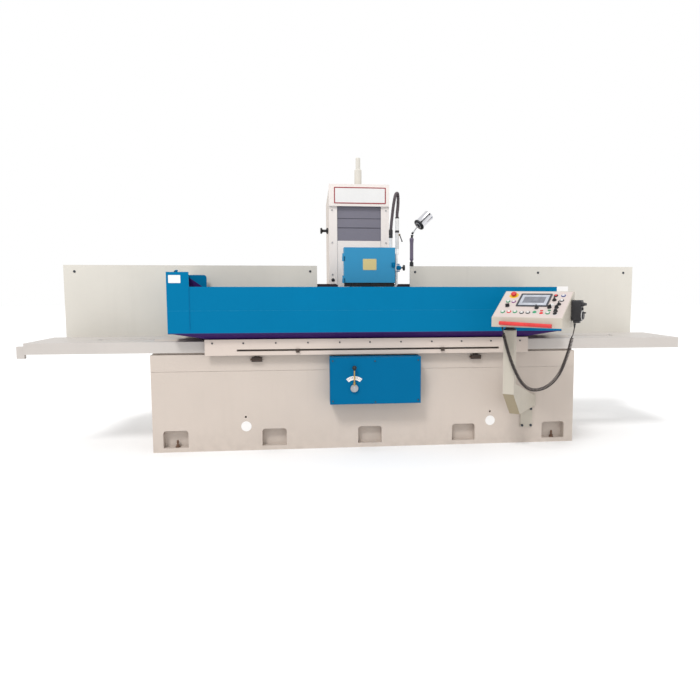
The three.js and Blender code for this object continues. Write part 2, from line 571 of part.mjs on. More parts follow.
function makeCoolant () {
  const { x, y, r, z0, z1, valveZ } = COOLANT
  const { x: riserX, y: riserY, top, tapZ, r: riserR } = RISER
  const bracket = box(HOOD.x1 + GAP, x, y - 8, y + 8, z1 - 60, z1 - 40)
  const nozzle = join(rod([x, y, z0], [x - 40, y, z0 - 60], r - 1, r - 4, 16), ball([x, y, z0], r))
  const valve = join(box(x - r, x + 22, y - 16, y + 16, valveZ - 22, valveZ + 22),
    rod([x + 20, y, valveZ], [x + 36, y, valveZ], 10, 10, 16))
  const elbow = tube([[x, y, z1 - 10], [x, y + 10, z1 + 20], [riserX, riserY - 15, z1 + 50],
    [riserX, riserY, z1 + 90], [riserX, riserY, tapZ]], r, 10, 12)
  const riser = rod([riserX, riserY, tapZ - 20], [riserX, riserY, top], riserR, riserR, 20)
  const pipe = rod([x, y, z0], [x, y, z1], r, r, 16)
  add('coolant_pipe', join(pipe, bracket, nozzle, valve, elbow, riser), STEEL)
  add('valve_knob', turned([[0, 0], [6, 0], [6, 10], [20, 14], [22, 20], [20, 28], [0, 28]],
    [x + 36 + GAP, y, valveZ], [1, 0, 0], 20), BLACK)
  const pivot = riserX + riserR + 1
  const tip = [pivot + 24, riserY, tapZ - 48]
  add('valve_lever', join(rod([pivot, riserY, tapZ], [pivot + 10, riserY, tapZ], 8, 8, 12),
    rod([pivot + 6, riserY, tapZ], tip, 4, 4, 8), ball(tip, 6)), BLACK)
}

function makeHose () {
  const { x, y, r, top, sleeveR, sleeveTop } = STANDPIPE
  const stand = join(rod([x, y, HOOD.z1 + GAP], [x, y, top], r, r, 16),
    rod([x, y, top - 3], [x, y, sleeveTop], sleeveR, sleeveR, 16))
  const route = [...HOSE_ROUTE, [RISER.x, RISER.y, RISER.top + GAP]]
  add('coolant_hose', join(tube(route, HOSE_R, 10, 36), stand), RUBBER)
}

// ---- lamp on the end of the right rear panel ----
function makeLamp () {
  const { x, y, base, elbow, baseHeight, sleeve } = LAMP
  const up = [0, 0, 1]
  const socket = join(rod([x, y, base], [x, y, base + baseHeight - 5], 17, 16),
    rod([x, y, base + baseHeight - 9], [x, y, base + baseHeight], 10, 10))
  add('lamp_base', socket, BLACK)
  const foot = base + baseHeight + GAP
  const [elbowX, elbowZ] = elbow
  const profile = [[0, 0], [9, 0], [16, 14], [15, 150], [18, 182], [14, sleeve], [0, sleeve]]
  const arm = turned(profile, [x, y, foot], up, 20)
  const neck = rod([x, y, foot + sleeve - 4], [elbowX - 3, y, elbowZ - 14], 9, 8, 16)
  add('lamp_arm', join(arm, neck), RUBBER)
  // The shade opens away from the arm; its back plate carries the stem.
  const { centre, along, length, r, bore, flangeR } = SHADE
  const at = d => centre.map((c, i) => c + along[i] * d)
  const shade = join(rod(at(-9), at(7), flangeR - 7, flangeR, 32), rod(at(6), at(length), r, r, 32))
  const mouth = rod(at(13), at(length + 1), bore, bore, 32)
  const stem = join(ball([elbowX, y, elbowZ], 10), rod([elbowX, y, elbowZ], at(-8), 5, 5, 12),
    rod(at(-17), at(-8), 10, 16, 16))
  add('lamp_head', join(cut(shade, mouth), stem), STEEL)
}

// ---- pendant ----
// Local frame of the panel: x along its front edge, y into its depth, z up.
function inPendant (manifold) {
  const m = new THREE.Matrix4().makeRotationZ(THREE.MathUtils.degToRad(-PENDANT.turn))
  m.setPosition(PENDANT.x, PENDANT.y, PENDANT.z)
  return manifold.transform(m.elements)
}

// Stands a shape on the sloping face, u along it and v up it.
function onSlope (manifold, u, v, lift = 0) {
  const tilt = THREE.MathUtils.degToRad(PENDANT.tilt)
  const m = new THREE.Matrix4().makeRotationX(tilt)
  m.setPosition(u, v * Math.cos(tilt) - lift * Math.sin(tilt), v * Math.sin(tilt) + lift * Math.cos(tilt))
  return manifold.transform(m.elements)
}

function makePost () {
  const { u, depth, half, halfDepth, top, bottom } = POST
  const z = PENDANT.z
  const column = box(u - half, u + half, depth - halfDepth, depth + halfDepth, bottom - z, top - z)
  const leg = barX(LEG.map(([d, h]) => [d, h - z]), u - half + 1, u + half - 1)
  const beyond = box(500, 1900, BED.front - LEG_PLATE.t / 2, 400, 0, 900)
  const { x0, x1, wideX, z0, wideZ, z1, t } = LEG_PLATE
  const plate = join(box(x0, x1, BED.front - t, BED.front - GAP, z0, wideZ + 1),
    box(x0, wideX, BED.front - t, BED.front - GAP, wideZ, z1))
  add('pendant_post', join(cut(inPendant(join(column, leg)), beyond), plate), CREAM)
}

function wedge (inset, z0) {
  const tilt = THREE.MathUtils.degToRad(PENDANT.tilt)
  const run = PENDANT.face * Math.cos(tilt)
  const rise = PENDANT.face * Math.sin(tilt)
  const back = run + PENDANT.brim - inset
  const outline = [[inset, z0], [back, z0], [back, rise - inset], [run, rise - inset], [inset, -inset]]
  return barX(outline, inset, PENDANT.width - inset)
}

function makePendant () {
  const { lip } = PENDANT
  const bottom = -lip
  const [cordX, cordY] = CORD_ROUTE.at(-1)
  const hole = ({ u, v, r }) => onSlope(rod([0, 0, -PRESS_DEPTH - 2], [0, 0, 1], r + GAP, r + GAP), u, v)
  const shell = cut(wedge(0, bottom), wedge(5, bottom + 5), ...PRESSED.map(hole),
    rod([cordX, cordY, bottom - 1], [cordX, cordY, bottom + 6], 9, 9, 16))
  add('pendant_housing', inPendant(shell), CREAM)
  const neck = turned(NECK, [POST.u, POST.depth, POST.top - PENDANT.z + GAP], [0, 0, 1])
  add('pendant_neck', inPendant(neck), BLACK)
  const { u0, u1, out, z0, z1, r, stayInset, stayR } = HANDLE
  const stay = (u, z) => rod([u, out, z], [u, -GAP, z], stayR, stayR, 12)
  add('pendant_handle', inPendant(join(rod([u0, out, z0], [u1, out, z1], r, r, 20),
    stay(u0 + stayInset, z0 - 1), stay(u1 - stayInset, z1 + 1))), RED)
}

function makeControls () {
  const up = [0, 0, 1]
  const [estop, start, stop] = PRESSED
  const cap = [[20, 12], [20, 20], [14, 25], [0, 26]]
  const shank = [[0, -PRESS_DEPTH], [estop.r, -PRESS_DEPTH], [estop.r, 8]]
  const mushroom = turned([...shank, ...cap], [0, 0, 0], up, 24)
  add('estop_button', inPendant(onSlope(mushroom, estop.u, estop.v, GAP)), RED)
  const button = ({ u, v, r }) => inPendant(onSlope(
    turned([[0, -PRESS_DEPTH], [r, -PRESS_DEPTH], [r, 5], [r - 3, 9], [0, 9]], [0, 0, 0], up, 20), u, v, GAP))
  add('start_button', button(start), GREEN)
  add('stop_button', button(stop), RED)
  const skirt = turned([[0, 0], [14, 0], [14, 6], [12, 8], [0, 8]], [0, 0, 0], up, 20)
  const selector = join(skirt, box(-4, 4, -13, 13, 7, 20))
  add('selector_switch', inPendant(onSlope(selector, SELECTOR.u, SELECTOR.v, GAP)), BLACK)
}

function makeHandset () {
  const { x0, x1, y0, y1, z0, z1, foot } = HANDSET
  const body = join(box(x0, x1, y0, y1, z0, z1), box(x0 + 12, x1 - 10, y0 + 2, y0 + 40, z0 - foot, z0 + 1))
  add('handwheel_unit', inPendant(body), BLACK)
  const y = (y0 + y1) / 2
  const { z, r, knobZ, knobR } = DIAL
  const disc = turned([[0, 0], [r, 0], [r, 8], [r - 3, 11], [0, 11]], [x1 + GAP, y, z], [1, 0, 0], 32)
  const crank = rod([x1 + 10, y, knobZ], [x1 + 24, y, knobZ], knobR, knobR, 12)
  add('mpg_dial', inPendant(join(disc, crank)), BLACK)
}

function makeCord () {
  add('curly_cord', inPendant(tube(CORD_ROUTE, CORD_R, 8, 44)), RUBBER)
}

makeBed()
makeCrossBed()
makeTray('tray_left', -1)
makeTray('tray_right', 1)
makeRearPanel('rear_panel_left', -PANEL.outer, PANEL.innerLeft)
makeRearPanel('rear_panel_right', PANEL.innerRight, PANEL.outer)
makeTable()
makeChuck()
makeApron()
makePan()
makeGuards()
makeTableDrive()
makeDog('dog_left', -DOG.x)
makeDog('dog_right', DOG.x)
makeSwitches()
makeControlBox()
makeSaddle()
makeColumn()
makeCover()
makeShutters()
makeLiftScrew()
makeSideKnob()
makeCrossDrive()
makeBellows()
makeWheelhead()
makeSpindle()
makeGuardHood()
makeGuardDoor()
makeCoolant()
makeHose()
makeLamp()
makePost()
makePendant()
makeControls()
makeHandset()
makeCord()

export default grinder
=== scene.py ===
import json
import math

import bmesh
import bpy
from mathutils import Matrix, Vector


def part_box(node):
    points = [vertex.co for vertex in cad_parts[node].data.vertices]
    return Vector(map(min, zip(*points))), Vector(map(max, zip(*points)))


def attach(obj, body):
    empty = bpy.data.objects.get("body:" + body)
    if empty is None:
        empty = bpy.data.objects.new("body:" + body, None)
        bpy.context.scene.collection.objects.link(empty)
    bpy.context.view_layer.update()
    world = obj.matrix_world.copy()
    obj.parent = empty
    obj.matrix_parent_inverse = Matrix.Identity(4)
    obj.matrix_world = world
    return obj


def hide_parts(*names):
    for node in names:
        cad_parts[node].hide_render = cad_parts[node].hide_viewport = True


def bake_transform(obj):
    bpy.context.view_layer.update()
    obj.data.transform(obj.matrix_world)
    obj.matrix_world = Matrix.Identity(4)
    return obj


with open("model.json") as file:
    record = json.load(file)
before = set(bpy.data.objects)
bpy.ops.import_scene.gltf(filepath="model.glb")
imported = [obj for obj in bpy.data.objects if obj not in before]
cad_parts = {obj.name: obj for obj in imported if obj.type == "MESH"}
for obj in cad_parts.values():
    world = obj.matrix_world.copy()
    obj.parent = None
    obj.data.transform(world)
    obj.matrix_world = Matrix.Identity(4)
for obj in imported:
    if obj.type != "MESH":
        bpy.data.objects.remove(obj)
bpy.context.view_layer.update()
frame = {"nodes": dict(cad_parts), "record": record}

# Sizes and places are millimetres in the frame of the CAD part unless a name ends in _M.
MM = 0.001
UP = (0, 0, 1)
FRONT = (0, -1, 0)
BACK = (0, 1, 0)
RIGHT = (1, 0, 0)
nodes = frame["nodes"]


def extent(node):
    """Lowest and highest corner of a CAD node, in millimetres."""
    low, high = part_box(node)
    return [v / MM for v in low], [v / MM for v in high]


# ---------------------------------------------------------------- camera and stage

CAMERA_M = (-0.410, -5.020, 1.188)
CAMERA_TURN_DEG = (84.447, 0, -6.854)
LENS = 33.43
SENSOR = 36
CAMERA_SHIFT = -0.06
FLOOR_RADIUS_M = 40
FLOOR_SIDES = 48
SKY = 1.0
SUN_POWER = 1.5
SUN_ANGLE_DEG = 14
SUN_TRAVEL = (0.5, 1.0, -1.2)
# What the sky and the sun together give a front face, so a paint's colour is divided by it.
FRONT_LIGHT = 1.3


def make_camera():
    data = bpy.data.cameras.new("camera")
    data.lens = LENS
    data.sensor_width = SENSOR
    data.shift_x = CAMERA_SHIFT
    data.clip_end = 200
    camera = bpy.data.objects.new("camera", data)
    camera.location = CAMERA_M
    camera.rotation_euler = [math.radians(a) for a in CAMERA_TURN_DEG]
    bpy.context.scene.collection.objects.link(camera)
    bpy.context.scene.camera = camera


def make_floor():
    mesh = bpy.data.meshes.new("floor")
    ring = [(x, y, 0) for x, y in circle(0, 0, FLOOR_RADIUS_M, FLOOR_SIDES)]
    mesh.from_pydata(ring, [], [list(range(FLOOR_SIDES))])
    floor = bpy.data.objects.new("floor", mesh)
    material = bpy.data.materials.new("floor")
    material.use_nodes = True
    shader = material.node_tree.nodes["Principled BSDF"]
    shader.inputs["Base Color"].default_value = (0.90, 0.90, 0.90, 1)
    shader.inputs["Roughness"].default_value = 0.9
    shader.inputs["Specular IOR Level"].default_value = 0.1
    mesh.materials.append(material)
    bpy.context.scene.collection.objects.link(floor)


def make_lights():
    """An even white studio, with a broad sun from the front left that gives soft shadows."""
    world = bpy.data.worlds.new("studio")
    world.use_nodes = True
    sky = world.node_tree.nodes["Background"]
    sky.inputs["Color"].default_value = (1, 1, 1, 1)
    sky.inputs["Strength"].default_value = SKY
    bpy.context.scene.world = world
    data = bpy.data.lights.new("sun", "SUN")
    data.energy = SUN_POWER
    data.angle = math.radians(SUN_ANGLE_DEG)
    light = bpy.data.objects.new("sun", data)
    light.rotation_euler = Vector(SUN_TRAVEL).to_track_quat("-Z", "Y").to_euler()
    bpy.context.scene.collection.objects.link(light)
    bpy.context.scene.view_settings.view_transform = "Standard"
    bpy.context.scene.view_settings.look = "None"


# ---------------------------------------------------------------- materials


def linear(rgb):
    """sRGB values from 0 to 255, as the linear colour a shader takes."""
    values = [c / 255 for c in rgb]
    return [c / 12.92 if c <= 0.04045 else ((c + 0.055) / 1.055) ** 2.4 for c in values] + [1]


NOISE_ROUGHNESS = 0.55


class Nodes:
    """A material's node tree, with one short call for each kind of node."""

    def __init__(self, name):
        self.material = bpy.data.materials.new(name)
        self.material.use_nodes = True
        self.tree = self.material.node_tree
        self.shader = self.tree.nodes["Principled BSDF"]
        self.place = self.tree.nodes.new("ShaderNodeTexCoord").outputs["Object"]

    def link(self, output, socket):
        self.tree.links.new(output, socket)

    def noise(self, scale, detail, stretch=None):
        source = self.place
        if stretch:
            mapping = self.tree.nodes.new("ShaderNodeMapping")
            mapping.inputs["Scale"].default_value = stretch
            self.link(source, mapping.inputs["Vector"])
            source = mapping.outputs["Vector"]
        node = self.tree.nodes.new("ShaderNodeTexNoise")
        node.inputs["Scale"].default_value = scale
        node.inputs["Detail"].default_value = detail
        node.inputs["Roughness"].default_value = NOISE_ROUGHNESS
        self.link(source, node.inputs["Vector"])
        return node.outputs["Fac"]

    def spread(self, value, low, high, to_low=0.0, to_high=1.0):
        node = self.tree.nodes.new("ShaderNodeMapRange")
        for key, number in zip(("From Min", "From Max", "To Min", "To Max"), (low, high, to_low, to_high)):
            node.inputs[key].default_value = number
        self.link(value, node.inputs["Value"])
        return node.outputs["Result"]

    def math(self, operation, a, b=None):
        node = self.tree.nodes.new("ShaderNodeMath")
        node.operation = operation
        for socket, value in zip(node.inputs, (a, b)):
            if isinstance(value, (int, float)):
                socket.default_value = value
            elif value is not None:
                self.link(value, socket)
        return node.outputs["Value"]

    def mix(self, share, a, b):
        node = self.tree.nodes.new("ShaderNodeMix")
        node.data_type = "RGBA"
        self.link(share, node.inputs["Factor"])
        for socket, value in ((node.inputs[6], a), (node.inputs[7], b)):
            if isinstance(value, (list, tuple)):
                socket.default_value = value
            else:
                self.link(value, socket)
        return node.outputs[2]

    def axes(self):
        node = self.tree.nodes.new("ShaderNodeSeparateXYZ")
        self.link(self.place, node.inputs["Vector"])
        return node.outputs

    def bump(self, height, distance_m, strength=1.0, before=None):
        node = self.tree.nodes.new("ShaderNodeBump")
        node.inputs["Strength"].default_value = strength
        node.inputs["Distance"].default_value = distance_m
        self.link(height, node.inputs["Height"])
        if before:
            self.link(before, node.inputs["Normal"])
        self.link(node.outputs["Normal"], self.shader.inputs["Normal"])
        return node.outputs["Normal"]

    def edge(self, radius_m):
        """Near 1 on outside edges and 0 on flat faces."""
        bevel = self.tree.nodes.new("ShaderNodeBevel")
        bevel.samples = 4
        bevel.inputs["Radius"].default_value = radius_m
        geometry = self.tree.nodes.new("ShaderNodeNewGeometry")
        dot = self.tree.nodes.new("ShaderNodeVectorMath")
        dot.operation = "DOT_PRODUCT"
        self.link(bevel.outputs["Normal"], dot.inputs[0])
        self.link(geometry.outputs["Normal"], dot.inputs[1])
        return self.spread(dot.outputs["Value"], 1.0, 0.8)

    def feed(self, key, output):
        self.link(output, self.shader.inputs[key])

    def number(self, key, value):
        self.shader.inputs[key].default_value = value


def shade(colour, factor):
    return [min(1.0, c * factor) for c in colour[:3]] + [1]


def paint(name, rgb, gloss, specular, worn=None, dusty=False, coat=0.12):
    """Sprayed enamel: slight mottling, orange peel, uneven sheen, dust low down and lighter worn edges."""
    made = Nodes(name)
    base = shade(linear(rgb), 1 / FRONT_LIGHT)
    cloud = made.spread(made.noise(1.7, 4), 0.3, 0.7)
    colour = made.mix(cloud, shade(base, 0.965), shade(base, 1.03))
    streak = made.spread(made.noise(3.0, 5, (6, 6, 0.5)), 0.52, 0.8, 0.0, 0.16)
    colour = made.mix(streak, colour, shade(base, 0.82))
    if dusty:
        low = made.spread(made.axes()["Z"], 0.22, 0.0)
        grime = made.math("MULTIPLY", low, made.spread(made.noise(14, 5), 0.35, 0.8, 0.0, 0.35))
        colour = made.mix(grime, colour, shade(base, 0.62))
    if worn:
        rub = made.math("MULTIPLY", made.edge(0.0035), made.spread(made.noise(38, 4), 0.45, 0.7, 0.1, 0.7))
        colour = made.mix(rub, colour, shade(linear(worn), 1 / FRONT_LIGHT))
    made.feed("Base Color", colour)
    made.feed("Roughness", made.spread(made.noise(45, 4), 0.3, 0.7, gloss - 0.06, gloss + 0.08))
    made.number("Specular IOR Level", specular)
    made.number("Coat Weight", coat)
    made.number("Coat Roughness", 0.25)
    made.bump(made.noise(620, 2), 0.00012, 0.5, made.bump(made.noise(9, 2), 0.0006, 0.35))
    return made.material


def metal(name, rgb, rough, brush):
    """Bare metal with fine tool marks along one direction."""
    made = Nodes(name)
    base = linear(rgb)
    marks = made.noise(30, 5, brush)
    made.feed("Base Color", made.mix(made.spread(marks, 0.3, 0.7), shade(base, 0.86), shade(base, 1.08)))
    made.feed("Roughness", made.spread(marks, 0.25, 0.75, rough - 0.08, rough + 0.14))
    made.number("Metallic", 1.0)
    first = made.bump(made.noise(5, 3), 0.0004, 0.2)
    made.bump(marks, 0.00008, 0.5, first)
    return made.material


def moulded(name, rgb, rough=0.5, grain=900, depth_m=0.00008, specular=0.4):
    """Moulded plastic or rubber with a fine grain, duller where it is handled."""
    made = Nodes(name)
    base = shade(linear(rgb), 1 / FRONT_LIGHT)
    cloud = made.spread(made.noise(22, 4), 0.3, 0.7)
    made.feed("Base Color", made.mix(cloud, shade(base, 0.85), shade(base, 1.15)))
    made.feed("Roughness", made.spread(made.noise(60, 4), 0.3, 0.7, rough - 0.08, rough + 0.1))
    made.number("Specular IOR Level", specular)
    made.bump(made.noise(grain, 2), depth_m, 0.6)
    return made.material


def grit(name, rgb):
    """Bonded abrasive: grains of two colours over a rough surface."""
    made = Nodes(name)
    base = linear(rgb)
    cells = made.tree.nodes.new("ShaderNodeTexVoronoi")
    cells.inputs["Scale"].default_value = 700
    made.link(made.place, cells.inputs["Vector"])
    grain = made.spread(cells.outputs["Distance"], 0.0, 0.7)
    made.feed("Base Color", made.mix(grain, shade(base, 1.1), shade(base, 0.6)))
    made.number("Roughness", 0.95)
    made.bump(cells.outputs["Distance"], 0.0006, 0.9)
    return made.material


def screen_glass(name):
    """The grey display: faint blank patches behind gloss."""
    made = Nodes(name)
    base = shade(linear((112, 116, 128)), 1 / FRONT_LIGHT)
    fields = made.spread(made.noise(26, 2), 0.35, 0.65)
    made.feed("Base Color", made.mix(fields, shade(base, 0.8), shade(base, 1.2)))
    made.number("Roughness", 0.12)
    made.number("Coat Weight", 0.6)
    made.bump(made.noise(300, 1), 0.00003, 0.3)
    return made.material


# Colour, gloss and specular, then the colour of worn edges, whether dust shows low down, and the coat.
PAINTS = {
    "cream": ((216, 203, 192), 0.46, 0.3, (236, 230, 222), True),
    # Partly painted light: the rear panels' own paler cream, raised to make up for the shade the guard and
    # column cast near the middle.
    "panel_cream_lit": ((234, 229, 219), 0.5, 0.25, (244, 240, 234), True),
    "apron_cream": ((226, 211, 200), 0.46, 0.3, (240, 233, 224), True),
    "tray_cream": ((213, 206, 200), 0.5, 0.3, (236, 232, 226), True),
    "white": ((254, 252, 250), 0.4, 0.3),
    # Painted light: a cream brightened above full white that lightens the column cover and head plate against
    # the shade round the recessed column.
    "cover_cream_lit": ((258, 249, 243), 0.46, 0.3, (252, 250, 247)),
    "grey_face": ((222, 208, 202), 0.45, 0.2, (226, 212, 208)),
    "housing_grey": ((206, 198, 184), 0.45, 0.2, (228, 222, 212)),
    "blue": ((0, 122, 171), 0.5, 0.04, (70, 172, 214), False, 0.0),
    "box_blue": ((0, 109, 158), 0.5, 0.04, (60, 160, 205), False, 0.0),
    "guard_blue": ((54, 148, 194), 0.4, 0.15, (110, 185, 220), False, 0.05),
    # Painted shade: this deep purple stands for blue paint in shadow, on the splash pan's underside and on
    # the guard corner's shadow sheet.
    "pan_paint": ((60, 30, 100), 0.5, 0.1, (96, 74, 130), False, 0.0),
    "shutter": ((133, 130, 142), 0.5, 0.25, (160, 158, 166)),
    # Painted shade: a dark copy of the shutter grey that stands for the shade line under each folded lip.
    "shutter_shade_edge": ((84, 82, 92), 0.5, 0.2),
    "motor": ((62, 66, 74), 0.45, 0.3, (110, 112, 118)),
    # Painted shade: the khaki stands for the shade on the post leg's downward-facing front.
    "leg_shade_khaki": ((178, 164, 138), 0.5, 0.1, None, False, 0.0),
    "lamp_grey": ((112, 101, 122), 0.4, 0.3, (150, 140, 158)),
    "rust": ((118, 92, 76), 0.55, 0.2, None, False, 0.0),
    "yellow": ((214, 198, 138), 0.4, 0.3),
    "sign_red": ((170, 52, 60), 0.4, 0.3),
}
# Colour, roughness and the direction of the tool marks.
METALS = {
    "iron": ((112, 112, 114), 0.42, (60, 1, 60)),
    "chuck_steel": ((172, 172, 174), 0.26, (1, 70, 70)),
    "steel": ((176, 176, 178), 0.28, (60, 60, 2)),
    "chrome": ((214, 214, 218), 0.12, (20, 20, 20)),
    "brass": ((190, 158, 96), 0.3, (1, 50, 50)),
}
# Colour and roughness, then the scale and depth of the grain, and specular.
MOULDINGS = {
    "switch_brown": ((66, 52, 44), 0.5),
    "black_plastic": ((40, 39, 42), 0.42),
    "red_plastic": ((226, 58, 58), 0.34, 500, 0.00005),
    "green_plastic": ((58, 158, 112), 0.34, 500, 0.00005),
    "white_plastic": ((232, 230, 228), 0.35, 500, 0.00005),
    "screen_rim": ((196, 200, 210), 0.35, 500, 0.00005),
    "blue_plastic": ((66, 86, 158), 0.35, 500, 0.00005),
    "purple_plastic": ((140, 66, 140), 0.35, 500, 0.00005),
    "yellow_plastic": ((240, 196, 40), 0.35, 500, 0.00005),
    "bellows": ((62, 50, 56), 0.85, 500, 0.0003, 0.15),
    "hose": ((104, 94, 98), 0.5, 400, 0.0001),
    "cord": ((72, 64, 62), 0.5, 500, 0.0001),
}


def make_materials():
    """Every material, by the name that put() and FINISH give."""
    made = {"abrasive": grit("abrasive", (222, 218, 208)), "screen": screen_glass("screen")}
    for kind, table in ((paint, PAINTS), (metal, METALS), (moulded, MOULDINGS)):
        made.update((name, kind(name, *look)) for name, look in table.items())
    return made


# ---------------------------------------------------------------- mesh helpers

SHARP = math.radians(34)


def arc(cx, cy, r, start, end, steps=5):
    """Points of an arc, in degrees, both ends included."""
    angles = [math.radians(start + (end - start) * i / steps) for i in range(steps + 1)]
    return [(cx + r * math.cos(a), cy + r * math.sin(a)) for a in angles]


def rounded(x0, x1, y0, y1, r, steps=4):
    """Outline of a rectangle with round corners."""
    return (arc(x1 - r, y0 + r, r, -90, 0, steps) + arc(x1 - r, y1 - r, r, 0, 90, steps)
            + arc(x0 + r, y1 - r, r, 90, 180, steps) + arc(x0 + r, y0 + r, r, 180, 270, steps))


def circle(x, y, r, sides):
    """Points of a whole circle."""
    return [(x + r * math.cos(a), y + r * math.sin(a)) for a in (math.tau * i / sides for i in range(sides))]


def around(centre, side, up, r, sides):
    """A ring of points about a centre, in the plane of two directions."""
    return [centre + r * (side * math.cos(a) + up * math.sin(a))
            for a in (math.tau * i / sides for i in range(sides))]


def on_axis(axis, p, a):
    """The point at a on the named axis, with p holding the other two."""
    return {"x": (a, p[0], p[1]), "y": (p[0], a, p[1]), "z": (p[0], p[1], a)}[axis]


def between(a, b, start, end, u):
    """Straight mix of two points, for smooth_route."""
    return a * ((end - u) / (end - start)) + b * ((u - start) / (end - start))


def smooth_route(points, per_span):
    """A smooth line through the points: a centripetal Catmull-Rom curve."""
    p = [Vector(q) for q in points]
    p = [2 * p[0] - p[1]] + p + [2 * p[-1] - p[-2]]
    line = []
    for i in range(1, len(p) - 2):
        p0, p1, p2, p3 = p[i - 1:i + 3]
        t0 = 0.0
        t1 = t0 + (p1 - p0).length ** 0.5
        t2 = t1 + (p2 - p1).length ** 0.5
        t3 = t2 + (p3 - p2).length ** 0.5
        for k in range(per_span):
            u = t1 + (t2 - t1) * k / per_span
            a = between(p0, p1, t0, t1, u)
            b = between(p1, p2, t1, t2, u)
            c = between(p2, p3, t2, t3, u)
            line.append(between(between(a, b, t0, t2, u), between(b, c, t1, t3, u), t1, t2, u))
    return line + [p[-2]]


def even(line, step):
    """The same line with points a step apart, and its length."""
    lengths = [0.0]
    for a, b in zip(line, line[1:]):
        lengths.append(lengths[-1] + (b - a).length)
    count = max(2, round(lengths[-1] / step))
    made = []
    k = 0
    for i in range(count + 1):
        s = lengths[-1] * i / count
        while k < len(line) - 2 and lengths[k + 1] < s:
            k += 1
        share = (s - lengths[k]) / max(lengths[k + 1] - lengths[k], 1e-9)
        made.append(line[k].lerp(line[k + 1], min(share, 1.0)))
    return made, lengths[-1]


def frames_along(line):
    """A side and an up direction at each point of a line, turning as little as possible."""
    made = []
    side = None
    for i in range(len(line)):
        tangent = (line[min(i + 1, len(line) - 1)] - line[max(i - 1, 0)]).normalized()
        if side is None:
            side = tangent.orthogonal().normalized()
        side = (side - tangent * side.dot(tangent)).normalized()
        made.append((side, tangent.cross(side)))
    return made


class Shape:
    """Closed solids gathered in one mesh, in millimetres."""

    def __init__(self):
        self.bm = bmesh.new()

    def skin(self, rings, closed=False):
        """Joins rings of points of equal count; a ring of one point is a tip."""
        made = [[self.bm.verts.new(p) for p in ring] for ring in rings]
        pairs = list(zip(made, made[1:])) + ([(made[-1], made[0])] if closed else [])
        for a, b in pairs:
            n = max(len(a), len(b))
            for i in range(n):
                k = (i + 1) % n
                corners = [a[i % len(a)], a[k % len(a)], b[k % len(b)], b[i % len(b)]]
                self.bm.faces.new(list(dict.fromkeys(corners)))
        if not closed:
            for ring, flip in ((made[0], True), (made[-1], False)):
                if len(ring) > 2:
                    self.bm.faces.new(ring[::-1] if flip else ring)
        return self

    def prism(self, outline, axis, low, high):
        """An outline pushed along x, y or z. The outline holds the other two axes in order."""
        return self.skin([[on_axis(axis, p, a) for p in outline] for a in (low, high)])

    def block(self, x0, x1, y0, y1, z0, z1):
        return self.prism([(x0, y0), (x1, y0), (x1, y1), (x0, y1)], "z", z0, z1)

    def frame(self, outer, inner, axis, low, high):
        """A flat ring between two outlines of equal count."""
        sides = ((outer, low), (outer, high), (inner, high), (inner, low))
        return self.skin([[on_axis(axis, p, a) for p in line] for line, a in sides], closed=True)

    def turned(self, profile, at, along, sides=32, closed=False):
        """A profile of (radius, height) turned about the line from `at` along `along`."""
        axis = Vector(along).normalized()
        side = axis.orthogonal().normalized()
        up = axis.cross(side)
        rings = []
        for r, h in profile:
            centre = Vector(at) + axis * h
            rings.append(around(centre, side, up, r, sides) if r else [centre])
        return self.skin(rings, closed)

    def ring(self, inner, outer, low, high, at, along, sides):
        """A flat washer."""
        return self.turned([(inner, low), (outer, low), (outer, high), (inner, high)], at, along, sides, True)

    def tube(self, line, radius, sides=12):
        """A round tube along a line of points. The radius is a number or one for each point."""
        radii = radius if isinstance(radius, list) else [radius] * len(line)
        rings = []
        for p, r, (side, up) in zip(line, radii, frames_along(line)):
            rings.append(around(p, side, up, r, sides))
        return self.skin(rings)

    def ball(self, at, r, sides=20, rings=10):
        profile = [(0, -r)] + [(r * math.cos(a), r * math.sin(a)) for a in
                               (math.pi * (i / rings - 0.5) for i in range(1, rings))] + [(0, r)]
        return self.turned(profile, at, UP, sides)

    def screw(self, at, along, r, socket=True):
        """A cap screw's head, with a socket in its top."""
        h = r * 0.9
        if socket:
            hole = r * 0.5
            profile = [(0, -1), (r, -1), (r, h * 0.8), (r * 0.85, h)]
            profile += [(hole, h), (hole, h * 0.4), (0, h * 0.4)]
        else:
            profile = [(0, -1), (r, -1), (r, h * 0.3), (r * 0.75, h * 0.6), (0, h * 0.7)]
        return self.turned(profile, at, along, 16)

    def screws(self, xs, y, zs, along, r, socket=True):
        """Screws at every crossing of some places along x and z."""
        for x in xs:
            for z in zs:
                self.screw((x, y, z), along, r, socket)
        return self

    def hexagon(self, at, along, across, height):
        return self.turned([(0, 0), (across / 1.732, 0), (across / 1.732, height * 0.9),
                            (across / 2.05, height), (0, height)], at, along, 6)

    def put(self, name, body, material, slot=None, bevel=0, place=None, replaces=()):
        """Makes the piece and hangs it on its body. The slot argument is not used."""
        slot = slot or material
        if place:
            self.bm.transform(place)
        self.bm.transform(Matrix.Scale(MM, 4))
        bmesh.ops.recalc_face_normals(self.bm, faces=self.bm.faces)
        for face in self.bm.faces:
            face.smooth = True
        for edge in self.bm.edges:
            edge.smooth = len(edge.link_faces) != 2 or edge.calc_face_angle(0) < SHARP
        mesh = bpy.data.meshes.new(name)
        self.bm.to_mesh(mesh)
        self.bm.free()
        piece = bpy.data.objects.new(name, mesh)
        mesh.materials.append(MATERIALS[material])
        bpy.context.scene.collection.objects.link(piece)
        if bevel:
            round_edges(piece, bevel)
        if body:
            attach(piece, body)
        if replaces:
            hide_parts(*replaces)
        return piece


